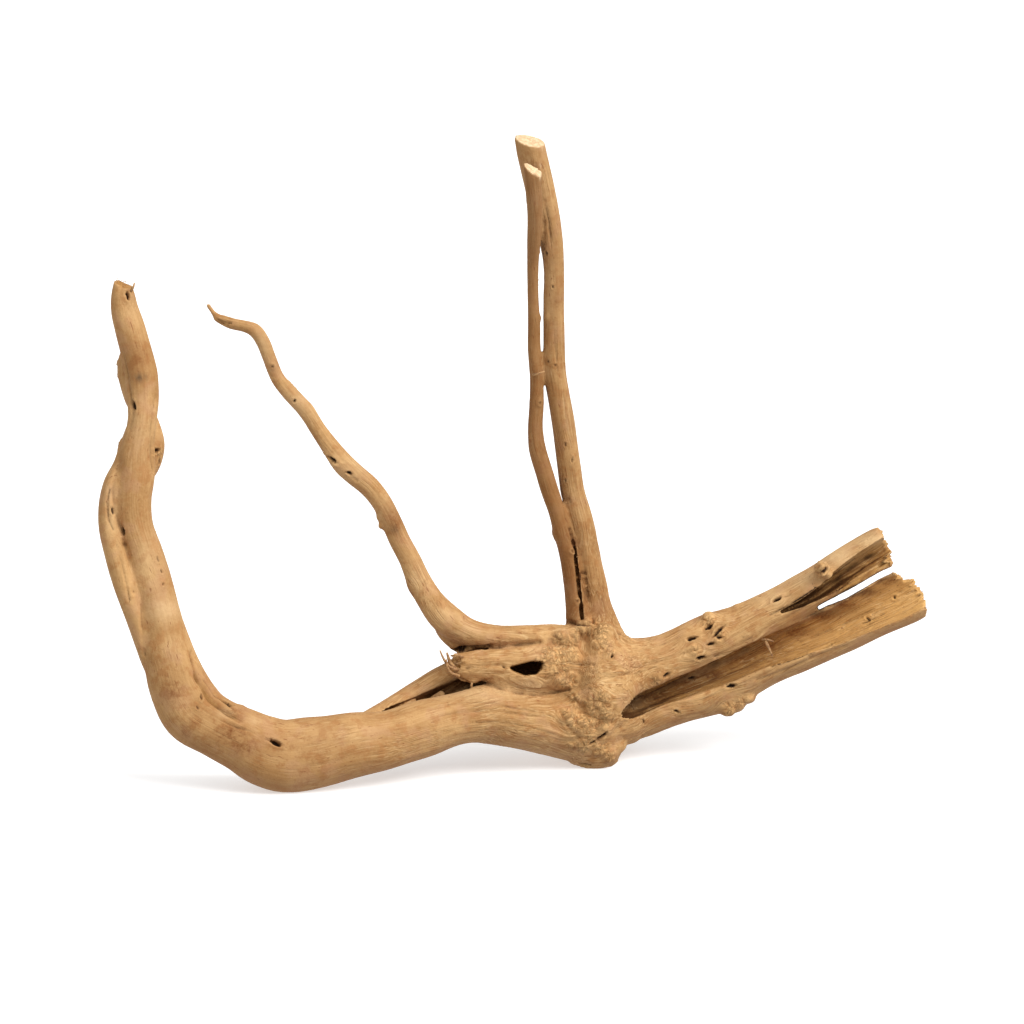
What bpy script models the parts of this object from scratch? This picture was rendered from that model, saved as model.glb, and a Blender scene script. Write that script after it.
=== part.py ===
"""Desert driftwood: one weathered piece of wood, grown as one body.

The limbs are laid out as a draughtsman sees the piece, from the front and a little
above it: across and up lie in the plane of view, and depth runs away from the eye.
Every row of a limb is (across, up, depth, half width, half depth), in millimetres.
"""

import math

import bmesh
import bpy
import numpy as np
from mathutils import Matrix, Vector, noise

MM = 0.001

# The view that the layout is drawn in
VIEW_TILT = math.radians(12)
VIEW_DISTANCE = 1600.0
# Where the middle of the layout lies, so that the origin is under the middle of the wood
LAYOUT_MIDDLE = (-3.0, 4.0, 111.0)

# How finely the wood is worked, in millimetres
STATION_STEP = 2.5
SIDES = 20
END_RINGS = np.radians((75, 50, 25))
SKIN_VOXEL = 1.1
MOST_TRIANGLES = 9500
# A section wavers round its limb and, over this length, along it
WAVER = 0.05
WAVER_LENGTH = 17.0
# What smoothing takes off a limb, and is given back to its radius
WORN_AWAY = 0.12

# The arm rises on the left, bends at the elbow and runs on as the trunk to the burl
STEM = (
    (-167.5, 98, -10, 4.1, 3.8), (-167.5, 94, -10.5, 5.2, 5.2), (-167, 87.5, -11, 5.9, 6.2),
    (-164.5, 79, -13, 6.5, 6.6), (-162, 69.5, -15, 6.7, 6.6), (-159.5, 57.5, -18, 6.9, 6.6),
    (-159, 47.5, -20, 6.8, 6.4), (-159.5, 37.5, -23, 6.2, 6.4), (-161, 28, -25, 6.9, 7),
    (-161.5, 17, -27, 8, 7.8), (-163, 5, -29, 8, 7.8), (-162, -5.5, -30, 8, 7.8),
    (-158.5, -16.5, -32, 8.2, 8.2), (-155, -29, -34, 8.8, 8.8), (-152, -41.5, -36, 9, 9.2),
    (-149, -55, -38, 10.2, 10), (-146, -66.5, -40, 11.7, 11.2), (-142.5, -76.5, -41, 13.1, 12.2),
    (-137, -86, -42, 14.2, 12.8), (-126.5, -93, -43, 13.1, 13), (-115.5, -98.5, -43, 13.5, 13.5),
    (-107.5, -102.5, -43, 15.3, 14), (-98.5, -105, -42.5, 15.9, 14.2), (-85.5, -104, -41, 15.3, 14),
    (-71.5, -101, -38.5, 14.2, 13.5), (-54, -98, -33, 12.7, 12.5), (-35.5, -92.5, -26, 12, 12),
    (-22.5, -89, -21, 11, 12), (-9.5, -87, -16, 12.7, 13), (4.5, -89, -11, 12.9, 15),
    (18.5, -90.5, -5, 14.6, 17), (33.5, -91, 1, 16.3, 19), (45.5, -89.5, 4, 11.2, 16),
)
# A strand that stands out along the arm's left side
STRAND = (
    (-164, 36, -20, 2.1, 3), (-166, 27.5, -23, 3.2, 4.5), (-168, 20, -26, 3.7, 5),
    (-171.5, 12.5, -29, 4.1, 5.5), (-173.5, 1.5, -31, 4.4, 5.8), (-173, -7.5, -33, 4.7, 6),
    (-170.5, -17.5, -35, 4.9, 6), (-167, -29, -37, 5.2, 6), (-162.5, -42, -39, 4.9, 6),
    (-158.5, -55.5, -40, 4.5, 6), (-154.5, -69, -41, 4.1, 5),
)
RIGHT_LOBE = (
    (-153, 43, -15, 2.1, 2.5), (-154.5, 36, -16, 4.1, 4), (-154, 28.5, -18, 4.7, 4.8),
    (-155, 21, -20, 4.1, 4.5), (-158, 13, -23, 2.6, 4),
)
LEFT_BUMP = (
    (-165, 71.5, -10, 2.1, 3), (-165.5, 63.5, -12, 4.1, 4.5), (-164.5, 55, -14, 4.1, 4.8),
    (-163.5, 48, -17, 3, 4),
)
# The thin branch, from its forked tip down to the burl
BRANCH = (
    (-130.5, 89, 8, 1, 1.1), (-128.5, 86, 6.5, 1.6, 1.6), (-125, 83, 5, 2.3, 2.1),
    (-120.5, 81, 3, 2.5, 2.4), (-115.5, 80, 1, 2.5, 2.5), (-111, 78.5, 0, 3, 2.8),
    (-107.5, 74, 0, 3, 2.8), (-104.5, 66.5, 0, 2.9, 2.8), (-100.5, 57, 1, 3, 2.9),
    (-94.5, 50, 2, 3.4, 3.2), (-88.5, 43.5, 3, 3.4, 3.2), (-83.5, 35.5, 3, 3.4, 3.2),
    (-77.5, 27, 3, 4, 3.6), (-72.5, 20.5, 3, 4.7, 4.4), (-67.5, 16, 4, 4.7, 4.4),
    (-61.5, 11, 5, 4.5, 4.2), (-56, 4, 6, 4.3, 4.2), (-52, -4, 6, 4.4, 4.3),
    (-48.5, -12, 5, 4.5, 4.4), (-44, -20.5, 4, 4.6, 4.5), (-40, -30, 2.5, 5.2, 4.8),
    (-35, -38.5, 1, 5.8, 5.4), (-29, -45.5, -1, 6.5, 6), (-19.5, -51.5, -3, 5.6, 6),
    (-7.5, -54, -3, 5.1, 6.2), (7.5, -54, -1, 5.2, 6.5), (23, -56, 2, 7.3, 8),
)
BRANCH_ROOT = (
    (-32.5, -42.5, 4, 3, 4), (-27.5, -50, 4, 5.6, 5.5), (-20, -56.5, 4, 5.4, 6.5),
    (-8.5, -58.5, 5, 5.2, 7),
)
THICK_TWIN = (
    (7.5, 160.5, 13, 6, 5.8), (8.5, 155, 13.5, 6.1, 5.8), (10, 148, 14, 6.1, 5.8),
    (12.5, 136.5, 14.5, 6, 5.6), (15, 125.5, 15, 5.6, 5.2), (17, 115.5, 15.5, 4.9, 4.8),
    (18, 104, 16, 4.4, 4.5), (18, 91, 16, 4.4, 4.5), (18, 74, 16.5, 4.5, 4.7),
    (18.5, 60, 17, 4.7, 4.9), (20.5, 48, 17, 4.7, 5), (22.5, 35.5, 17.5, 4.9, 5.2),
    (24.5, 20, 17.5, 5, 5.3), (26, 9.5, 17.5, 5.1, 5.5), (29, -3.5, 17.5, 5.6, 5.8),
    (31.5, -16.5, 17.5, 5.9, 6), (34, -29, 17, 6.1, 6.2), (36.5, -41.5, 15, 6.6, 6.6),
    (39, -51.5, 12, 8.2, 8), (41.5, -61.5, 9, 10.3, 10),
)
THIN_TWIN = (
    (9, 147, 3.5, 3.2, 3), (9.5, 138.5, 5, 3.4, 3.1), (10, 127.5, 7, 3.3, 3.1),
    (9.5, 117, 9.5, 3.1, 3), (9, 107, 12, 2.6, 2.7), (9, 94.5, 13.5, 2.4, 2.5),
    (9.5, 81.5, 14, 2.6, 2.6), (9.5, 69.5, 14, 2.7, 2.7), (10.5, 57.5, 14, 2.8, 2.8),
    (10.5, 46, 13.5, 3.1, 2.9), (10, 35.5, 13, 3.2, 3), (11, 26.5, 12.5, 3.6, 3.2),
    (13.5, 18, 12, 3.7, 3.5), (16, 9.5, 11.5, 3.7, 3.6), (19, 1, 11, 3.5, 3.6),
    (22, -10, 11, 3.7, 3.8), (24.5, -20.5, 11, 3.8, 4), (26.5, -31.5, 11, 4, 4.3),
    (28, -43, 10, 4.7, 5), (30, -55, 8, 6.9, 8),
)
# How far the saw cuts of the twins climb for each millimetre, to the left and away
THICK_TWIN_SLANT = (0.37, 0.3)
THIN_TWIN_SLANT = (1.15, 0.5)
SQUARE = (0, 0)
SLANT_LENGTH = 12.0
# A broken stub that lies in front of the cleft
STUB = (
    (29, -66.5, -3, 8.6, 6.5), (17, -66.5, -7, 10.1, 6.5), (7.5, -67.5, -9.5, 10.1, 6.3),
    (-2, -67, -11, 8.6, 6), (-9.5, -66, -12, 7.1, 5.6), (-17, -66, -12.5, 6.2, 5),
    (-21, -66.5, -13, 5.2, 4.4), (-23.5, -66.5, -13, 3.9, 3.5),
)
SPLINTER = (
    (-18, -71, -13, 1.7, 2.2), (-22.5, -70, -13.5, 1.9, 2), (-26, -66.5, -14, 1.8, 1.8),
    (-28.5, -62.5, -14, 1.3, 1.5), (-30.5, -59, -14, 0.9, 1),
)
# The far half of the split trunk, with the floor of the cleft between it and the near half
BACK_LIMB = (
    (-71.5, -96.5, -28, 5.2, 7), (-60, -90.5, -20, 6, 7.5), (-48, -84.5, -9, 6.7, 7.5),
    (-37.5, -78.5, 1, 7.1, 7.5), (-26.5, -72.5, 8, 7.5, 7.5), (-11.5, -66.5, 12, 7.7, 8),
    (5.5, -61.5, 13, 8.2, 9), (25, -59.5, 10, 8.6, 10),
)
CLEFT_FLOOR = (
    (-63, -100, -27, 4.3, 9), (-49, -97, -19, 5.6, 11), (-35.5, -91, -10, 6.2, 12),
    (-21.5, -86, -3, 6.9, 13), (-6, -81.5, 2, 8.2, 14), (10, -79.5, 5, 10.3, 15),
)
# A root stub behind the burl, which the wood also stands on
BACK_ROOT = (
    (38, -76.5, 6, 14.2, 15), (36, -83, 20, 12, 12), (32.5, -87.5, 30, 8.6, 8.5),
    (30.5, -90.5, 38, 6.5, 6.5), (29, -91, 44, 5.6, 5),
)
# The two prongs of the split right end
UPPER_PRONG = (
    (34.5, -69, 4, 17.2, 17), (48.5, -69, 9, 15, 15), (64.5, -64.5, 12.5, 11.6, 12.5),
    (81.5, -57, 15.5, 11.4, 12), (99, -50.5, 18, 10.8, 12), (116, -41.5, 19.5, 9.7, 11.5),
    (132.5, -32, 20, 9.2, 11), (147.5, -22.5, 20.5, 9.2, 10.5), (157.5, -16.5, 21, 9.2, 9.8),
    (162.5, -13.5, 21.3, 8.6, 9),
)
LOWER_PRONG = (
    (33.5, -87.5, 6, 15.5, 17), (55, -87, 9, 9.9, 14), (72, -81.5, 12, 8.8, 13),
    (89.5, -76, 14, 10.1, 13), (106.5, -66.5, 15, 9.7, 13), (124, -58, 15.5, 10.3, 13),
    (141, -50.5, 16, 10.3, 13), (158, -41.5, 16, 11.2, 12.5), (173, -34, 16, 11.4, 11.5),
)
# Lumps of the burl, its foot and the root knob behind it: half sizes across, up and deep
LUMPS = (
    (38, -76.5, 2, 17.2, 24.9, 20), (33.5, -96, -2, 14.2, 14.6, 15), (35.5, -103.5, -4, 10.8, 8.4, 11),
    (34.5, -86, 16, 13.8, 12, 14), (30.5, -50.5, 2, 4.7, 3.9, 5), (39.5, -52.5, 3, 6, 4.7, 6),
    (21.5, -54, -3, 4.3, 3.9, 5), (21, -61.5, -5, 4.3, 3.9, 5), (20, -70.5, -10, 7.3, 6.5, 7),
    (38.5, -57.5, -2, 6.5, 4.3, 6), (28, -81, -14, 5.2, 4.7, 6), (37.5, -82.5, -14, 5.2, 4.7, 6),
    (30, -91, -14, 6.5, 6, 6), (38, -93, -13, 6.5, 6, 6), (31, -100.5, -13, 5.2, 4.3, 5),
    (40.5, -103, -9, 5.2, 5.2, 6), (43, -99, -5, 6, 6, 8),
)
# Small knots and stubs that break the outline of the limbs
KNOTS = (
    (84.5, -46, 14, 3, 3, 4), (87.5, -52, 14.5, 2.6, 2.1, 3.5), (94, -83.5, 10, 4.7, 3.9, 6),
    (101.5, -79.5, 10, 3.4, 3, 6), (133, -24.5, 10.5, 3, 2.6, 4), (136.5, -27.5, 9.5, 2.1, 2.1, 3),
    (97, -41, 17, 2.1, 1.7, 3), (-57, -2, 5, 1.7, 2.1, 2), (-56.5, -6, 5, 1.3, 1.7, 2),
    (-22.5, -44.5, 0, 1.7, 1.3, 2),
)
# Hollows, cut out of the wood
CLEFT = (
    (-58.5, -88.5, -21, 1.7, 3.5), (-48, -85.5, -19, 3.2, 5.5), (-37, -81.5, -12, 3.9, 7),
    (-26, -77, -6, 4.5, 8), (-13, -72.5, -1, 4.7, 8.5), (1.5, -69, 2, 4.1, 7.5),
    (15.5, -67, 3, 2.6, 5),
)
UPPER_HOLLOW = (
    (100, -53.5, 10, 1.3, 4), (109, -48.5, 11, 2.1, 7), (117.5, -44.5, 12, 2.8, 9),
    (126, -39.5, 13, 3.2, 10), (136, -33.5, 13, 3.4, 10.5), (148, -23, 13, 4.3, 11),
    (160, -16.5, 13, 4.7, 11), (173.5, -8, 13, 4.7, 11),
)
UPPER_FACE = (
    (100, -57, 4, 2.1, 6), (111, -54, 6, 4.3, 8), (124, -47.5, 7, 5.6, 8.5),
    (136.5, -40.5, 8, 6, 9), (148, -32, 8.5, 6.5, 9), (160, -24.5, 9, 6.5, 9),
    (173.5, -17, 9, 6.5, 9),
)
TROUGH = (
    (39, -90.5, -2, 2.1, 6), (45.5, -85.5, -1, 3.7, 8.5), (54, -81.5, 1, 4.3, 10),
    (66, -77.5, 3, 4.7, 11), (77.5, -73.5, 4, 4.9, 11.5), (89.5, -69, 5, 5.2, 12.5),
    (103, -63, 6, 5.8, 13.5), (118, -57, 7, 6.5, 14), (132.5, -51.5, 7.5, 7.3, 14),
    (147.5, -44.5, 7.5, 7.7, 14), (162.5, -36, 7.5, 8.4, 14), (180.5, -26.5, 7.5, 8.6, 14),
)
# The half-moon knot hole through the stub: its outline, and how far it reaches in depth
KNOT_HOLE = (
    (-2, -67), (1.5, -69), (5.5, -70.5), (10.5, -70), (13.5, -67.5),
    (14.5, -64.5), (12.5, -63.5), (8, -64), (4, -65), (0.5, -66),
)
KNOT_HOLE_DEPTHS = (-30, 0)
# The gap that stays open between the two prongs
PRONG_GAP = (
    (128, -44), (132, -40), (140, -35.5), (149.5, -30.5), (158, -25.5), (164, -23),
    (177.5, -16.5), (177.5, -30), (169, -26.5), (165.5, -25.5), (161.5, -26.5), (153, -32),
    (144.5, -36.5), (136, -40),
)
PRONG_GAP_DEPTHS = (-10, 50)

# Weathering of the skin: height and size of its low swellings, and of the burl's knobs
SWELL = 0.5
SWELL_SIZE = 9.0
BURL_MIDDLE = (33, -78, -8)
BURL_REACH = 24.0
BURL_KNOB = 1.6
BURL_KNOB_SIZE = 4.5

GROUND_SIZE = (600, 400, 60)

WOOD_COLOUR = (0.52, 0.33, 0.165, 1.0)
WOOD_ROUGHNESS = 0.72

ACROSS = np.array((1.0, 0.0, 0.0))
UPWARD = np.array((0.0, math.sin(VIEW_TILT), math.cos(VIEW_TILT)))
AHEAD = np.array((0.0, math.cos(VIEW_TILT), -math.sin(VIEW_TILT)))
EYE = np.array(LAYOUT_MIDDLE) - VIEW_DISTANCE * AHEAD


def place(across, up, depth):
    """Points in space of a place in the layout, and how much larger than drawn things are there."""
    ray = VIEW_DISTANCE * AHEAD + np.multiply.outer(across, ACROSS) + np.multiply.outer(up, UPWARD)
    reach = (np.asarray(depth) + VIEW_DISTANCE * AHEAD[1]) / ray[..., 1]
    return EYE + reach[..., None] * ray, reach


def smooth_rows(rows, step):
    """The rows of a limb, read off a smooth curve through them every few millimetres."""
    rows = np.array(rows, float)
    lengths = np.concatenate([[0], np.linalg.norm(np.diff(rows[:, :3], axis=0), axis=1).cumsum()])
    slopes = np.gradient(rows, lengths, axis=0)
    at = np.linspace(0, lengths[-1], round(lengths[-1] / step) + 1)
    first = np.clip(np.searchsorted(lengths, at, side="right") - 1, 0, len(rows) - 2)
    gap = (lengths[first + 1] - lengths[first])[:, None]
    t = (at - lengths[first])[:, None] / gap
    start = (1 + 2 * t) * (1 - t) ** 2 * rows[first] + t * (1 - t) ** 2 * gap * slopes[first]
    end = t * t * (3 - 2 * t) * rows[first + 1] + t * t * (t - 1) * gap * slopes[first + 1]
    return start + end


def unit(vectors):
    return vectors / np.linalg.norm(vectors, axis=-1, keepdims=True)


def rounded_ends(centres, radii):
    """Adds to both ends of a tube the rings that close it as half an ellipsoid."""
    for _ in range(2):
        out = unit(centres[0] - centres[1]) * radii[0].mean()
        caps = [centres[0] + out * math.sin(angle) for angle in END_RINGS]
        sizes = [radii[0] * math.cos(angle) for angle in END_RINGS]
        centres = np.concatenate([caps, centres])[::-1]
        radii = np.concatenate([sizes, radii])[::-1]
    return centres, radii


def add_tube(mesh, rings):
    """A closed skin over rings of points."""
    rows = [[mesh.verts.new(point) for point in ring] for ring in rings]
    count = len(rows[0])
    for lower, upper in zip(rows, rows[1:]):
        for i in range(count):
            j = (i + 1) % count
            mesh.faces.new((lower[i], lower[j], upper[j], upper[i]))
    mesh.faces.new(rows[0][::-1])
    mesh.faces.new(rows[-1])


def add_limb(mesh, rows, seed, rounded=True, slant=SQUARE):
    """A limb through its rows, with a section that wavers along it as real wood does.

    A slant tilts the cut across its first end.
    """
    rows = smooth_rows(rows, STATION_STEP)
    centres, scale = place(rows[:, 0], rows[:, 1], rows[:, 2])
    radii = rows[:, 3:5] * scale[:, None] + WORN_AWAY
    if rounded:
        centres, radii = rounded_ends(centres, radii)
    along = unit(np.gradient(centres, axis=0))
    side = unit(np.cross(unit(centres - EYE), along))
    deep = np.cross(along, side)
    angles = np.arange(SIDES) * 2 * math.pi / SIDES
    travel = np.linalg.norm(np.diff(centres, axis=0, prepend=centres[:1]), axis=1).cumsum()
    rings = []
    for i, centre in enumerate(centres):
        ring = []
        fade = max(0.0, 1 - travel[i] / SLANT_LENGTH)
        for angle in angles:
            spot = Vector((math.cos(angle), math.sin(angle), travel[i] / WAVER_LENGTH))
            grow = 1 + WAVER * noise.noise(spot + Vector((seed, 0, 0)))
            sideways, away = grow * radii[i] * (math.cos(angle), math.sin(angle))
            climb = fade * (slant[0] * sideways + slant[1] * away)
            offset = sideways * side[i] + away * deep[i] - climb * along[i]
            ring.append((centre + offset) * MM)
        rings.append(ring)
    add_tube(mesh, rings)


def add_lump(mesh, across, up, depth, half_across, half_up, half_deep):
    centre, scale = place(across, up, depth)
    turn = Matrix(np.array((ACROSS, UPWARD, AHEAD)).T.tolist())
    size = Matrix.Diagonal((half_across * scale * MM, half_up * scale * MM, half_deep * scale * MM))
    matrix = Matrix.Translation(Vector(centre * MM)) @ (turn @ size).to_4x4()
    bmesh.ops.create_uvsphere(mesh, u_segments=20, v_segments=12, radius=1, matrix=matrix)


def new_object(name, mesh, collection):
    bmesh.ops.recalc_face_normals(mesh, faces=mesh.faces)
    data = bpy.data.meshes.new(name)
    mesh.to_mesh(data)
    mesh.free()
    obj = bpy.data.objects.new(name, data)
    collection.objects.link(obj)
    return obj


def new_cutter(name, mesh, collection):
    obj = new_object(name, mesh, collection)
    obj.hide_render = True
    obj.display_type = "WIRE"
    return obj


def limb_cutter(name, rows, seed, collection):
    mesh = bmesh.new()
    add_limb(mesh, rows, seed)
    return new_cutter(name, mesh, collection)


def prism_cutter(name, outline, depths, collection):
    """A cutter that follows the line of sight, so its outline is seen as drawn."""
    across, up = np.array(outline, float).T
    mesh = bmesh.new()
    add_tube(mesh, [place(across, up, np.full(len(across), depth))[0] * MM for depth in depths])
    return new_cutter(name, mesh, collection)


def ground_cutter(collection):
    """What lies under the surface that the wood rests on."""
    mesh = bmesh.new()
    block = bmesh.ops.create_cube(mesh, size=1.0)
    size = Vector(GROUND_SIZE) * MM
    bmesh.ops.scale(mesh, vec=size, verts=block["verts"])
    bmesh.ops.translate(mesh, vec=(0, 0, -size.z / 2), verts=block["verts"])
    return new_cutter("ground", mesh, collection)


def add_skin(obj):
    """One closed skin round whatever overlaps in the object."""
    remesh = obj.modifiers.new("One skin", "REMESH")
    remesh.mode = "VOXEL"
    remesh.voxel_size = SKIN_VOXEL * MM


def add_cut(obj, tool):
    cut = obj.modifiers.new("Cut " + tool.name, "BOOLEAN")
    cut.operation = "DIFFERENCE"
    cut.solver = "MANIFOLD"
    cut.object = tool


def bake(obj):
    """Applies every modifier of the object."""
    graph = bpy.context.evaluated_depsgraph_get()
    mesh = bpy.data.meshes.new_from_object(obj.evaluated_get(graph))
    obj.modifiers.clear()
    obj.data = mesh


def weather(obj):
    """Rubs low dips and swellings into the skin, rougher on the burl."""
    mesh = obj.data
    burl = Vector(place(*BURL_MIDDLE)[0] * MM)
    moved = []
    for vertex in mesh.vertices:
        spot = vertex.co / MM
        knobbly = math.exp(-(((vertex.co - burl) / MM).length / BURL_REACH) ** 2)
        swell = SWELL * noise.noise(spot / SWELL_SIZE)
        knob = BURL_KNOB * knobbly * noise.noise(spot / BURL_KNOB_SIZE)
        moved.append(vertex.co + vertex.normal * (swell + knob) * MM)
    for vertex, place_to in zip(mesh.vertices, moved):
        vertex.co = place_to


def wood_material():
    material = bpy.data.materials.new("driftwood")
    material.use_nodes = True
    shader = material.node_tree.nodes["Principled BSDF"]
    shader.inputs["Base Color"].default_value = WOOD_COLOUR
    shader.inputs["Roughness"].default_value = WOOD_ROUGHNESS
    shader.inputs["Metallic"].default_value = 0.0
    return material


def clear_scene():
    for obj in list(bpy.data.objects):
        bpy.data.objects.remove(obj)


def wood_body(collection):
    """All limbs and lumps, overlapping, in one mesh."""
    mesh = bmesh.new()
    limbs = (
        STEM, STRAND, RIGHT_LOBE, LEFT_BUMP, BRANCH, BRANCH_ROOT, STUB, SPLINTER,
        BACK_LIMB, CLEFT_FLOOR, BACK_ROOT,
    )
    for seed, rows in enumerate(limbs):
        add_limb(mesh, rows, seed * 7.3)
    cut_limbs = (
        (THICK_TWIN, THICK_TWIN_SLANT), (THIN_TWIN, THIN_TWIN_SLANT),
        (UPPER_PRONG, SQUARE), (LOWER_PRONG, SQUARE),
    )
    for seed, (rows, slant) in enumerate(cut_limbs):
        add_limb(mesh, rows, seed * 5.1 + 60, rounded=False, slant=slant)
    for lump in LUMPS + KNOTS:
        add_lump(mesh, *lump)
    return new_object("driftwood", mesh, collection)


def build():
    clear_scene()
    parts = bpy.data.collections.new("driftwood")
    cutters = bpy.data.collections.new("cutters")
    for collection in (parts, cutters):
        bpy.context.scene.collection.children.link(collection)
    wood = wood_body(parts)
    add_skin(wood)
    hollows = (
        limb_cutter("cleft", CLEFT, 91, cutters),
        limb_cutter("upper_hollow", UPPER_HOLLOW, 92, cutters),
        limb_cutter("trough", TROUGH, 93, cutters),
        limb_cutter("upper_face", UPPER_FACE, 94, cutters),
        prism_cutter("knot_hole", KNOT_HOLE, KNOT_HOLE_DEPTHS, cutters),
        prism_cutter("prong_gap", PRONG_GAP, PRONG_GAP_DEPTHS, cutters),
    )
    for tool in hollows:
        add_cut(wood, tool)
    bake(wood)
    add_skin(wood)
    smooth = wood.modifiers.new("Worn edges", "SMOOTH")
    smooth.iterations = 3
    bake(wood)
    weather(wood)
    wood.data.shade_smooth()
    wood.data.materials.append(wood_material())
    thin = wood.modifiers.new("Fewer faces", "DECIMATE")
    thin.ratio = MOST_TRIANGLES / (2 * len(wood.data.polygons))
    add_cut(wood, ground_cutter(cutters))


build()
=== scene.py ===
"""Desert driftwood, dressed for its picture.

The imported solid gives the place, the size and the collision. The wood that is seen is grown
again here from the same limbs, finer, with its grain, knots, cracks, burl and split ends.
Places are read in the plane of the photograph's view: across and up in it, and depth away
from the eye, in millimetres. A limb's row is (across, up, depth, half width, half depth).
"""

import itertools
import math

import bmesh
import bpy
import numpy as np
from mathutils import Matrix, Vector, noise
from mathutils.bvhtree import BVHTree


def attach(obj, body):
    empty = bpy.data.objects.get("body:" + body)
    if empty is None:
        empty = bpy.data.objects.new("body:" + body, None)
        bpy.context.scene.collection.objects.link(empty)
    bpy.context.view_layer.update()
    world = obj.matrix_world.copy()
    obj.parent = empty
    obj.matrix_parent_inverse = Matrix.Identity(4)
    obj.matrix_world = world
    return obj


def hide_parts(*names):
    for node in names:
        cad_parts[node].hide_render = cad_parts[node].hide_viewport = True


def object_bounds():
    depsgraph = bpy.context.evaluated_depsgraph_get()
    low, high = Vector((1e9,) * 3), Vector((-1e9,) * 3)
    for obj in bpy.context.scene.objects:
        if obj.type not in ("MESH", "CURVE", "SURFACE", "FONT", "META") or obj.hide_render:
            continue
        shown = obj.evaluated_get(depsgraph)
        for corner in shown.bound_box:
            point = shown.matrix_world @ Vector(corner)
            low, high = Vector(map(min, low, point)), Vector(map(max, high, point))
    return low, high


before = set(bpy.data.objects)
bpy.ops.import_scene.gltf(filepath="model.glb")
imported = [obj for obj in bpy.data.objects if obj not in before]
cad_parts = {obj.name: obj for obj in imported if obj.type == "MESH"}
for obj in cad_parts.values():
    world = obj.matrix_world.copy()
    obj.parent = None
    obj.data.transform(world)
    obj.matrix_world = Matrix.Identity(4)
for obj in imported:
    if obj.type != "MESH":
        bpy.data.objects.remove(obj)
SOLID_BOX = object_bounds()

MM = 0.001

# The photograph's view: it looks down by this angle, and is this many millimetres wide
VIEW_TILT = math.radians(12)
VIEW_DISTANCE = 1600.0
VIEW_WIDTH = 440.3
FILM_WIDTH = 36.0
LAYOUT_MIDDLE = (-3.0, 4.0, 111.0)

ACROSS = np.array((1.0, 0.0, 0.0))
UPWARD = np.array((0.0, math.sin(VIEW_TILT), math.cos(VIEW_TILT)))
AHEAD = np.array((0.0, math.cos(VIEW_TILT), -math.sin(VIEW_TILT)))
EYE = np.array(LAYOUT_MIDDLE) - VIEW_DISTANCE * AHEAD

# How finely the wood is worked, in millimetres where it is a length
STATION_STEP = 2.5
MARK_STEP = 0.5
SIDES = 28
LUMP_SEGMENTS = 28
LUMP_RINGS = 16
END_RINGS = np.radians((75, 50, 25))
ROUGH_VOXEL = 0.75
FINE_VOXEL = 0.6
MOST_TRIANGLES = 194000
# A section wavers round its limb by this share and, over this length, along it
WAVER = 0.05
WAVER_LENGTH = 17.0
# What smoothing takes off a limb, and is given back to its radius
WORN_AWAY = 0.1

# The arm rises on the left, bends at the elbow and runs on as the trunk to the burl
STEM = (
    (-167.3, 98.5, -10, 4, 3.8), (-167.5, 94, -10.5, 5, 5), (-167, 87.5, -11, 5.9, 6.2),
    (-164.5, 79, -13, 6.5, 6.6), (-162, 69.5, -15, 6.7, 6.6), (-159.5, 57.5, -18, 6.9, 6.6),
    (-159, 47.5, -20, 6.8, 6.4), (-159.5, 37.5, -23, 6.2, 6.4), (-161, 28, -25, 6.9, 7),
    (-161.5, 17, -27, 8, 7.8), (-163, 5, -29, 8, 7.8), (-162, -5.5, -30, 8, 7.8),
    (-158.5, -16.5, -32, 8.2, 8.2), (-155, -29, -34, 8.8, 8.8), (-152, -41.5, -36, 9, 9.2),
    (-149, -55, -38, 10.2, 10), (-146, -66.5, -40, 11.7, 11.2), (-142.5, -76.5, -41, 13.1, 12.2),
    (-137, -86, -42, 14.2, 12.8), (-126.5, -93, -43, 13.1, 13), (-115.5, -98.5, -43, 13.5, 13.5),
    (-107.5, -102.5, -43, 15.3, 14), (-98.5, -105, -42.5, 15.9, 14.2), (-85.5, -104, -41, 15.3, 14),
    (-71.5, -101, -38.5, 14.2, 13.5), (-54, -98, -33, 12.7, 12.5), (-35.5, -92.5, -26, 12, 12),
    (-22.5, -89, -21, 11, 12), (-9.5, -87, -16, 12.7, 13), (4.5, -89, -11, 12.9, 15),
    (18.5, -90.5, -5, 14.6, 17), (33.5, -91, 1, 16.3, 19), (45.5, -89.5, 4, 11.2, 16),
)
# A strand that stands out along the arm's left side
STRAND = (
    (-164, 36, -20, 2.1, 3), (-166, 27.5, -23, 3.2, 4.5), (-168, 20, -26, 3.7, 5),
    (-171.5, 12.5, -29, 4.1, 5.5), (-173.5, 1.5, -31, 4.4, 5.8), (-173, -7.5, -33, 4.7, 6),
    (-170.5, -17.5, -35, 4.9, 6), (-167, -29, -37, 5.2, 6), (-162.5, -42, -39, 4.9, 6),
    (-157.8, -55.5, -39.5, 4.6, 5.8), (-155, -66, -40, 3.4, 5), (-150.5, -77, -40, 2, 3.5),
)
RIGHT_LOBE = (
    (-154.3, 41.5, -16.5, 1.5, 2), (-154.4, 36, -16.5, 3.6, 3.8), (-154, 28.5, -18, 4.7, 4.8),
    (-155, 21, -20, 4.1, 4.5), (-158, 13, -23, 2.6, 4),
)
LEFT_BUMP = (
    (-165, 71.5, -10, 2.1, 3), (-165.5, 63.5, -12, 4.1, 4.5), (-164.5, 55, -14, 4.1, 4.8),
    (-163.5, 48, -17, 3, 4),
)
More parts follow.
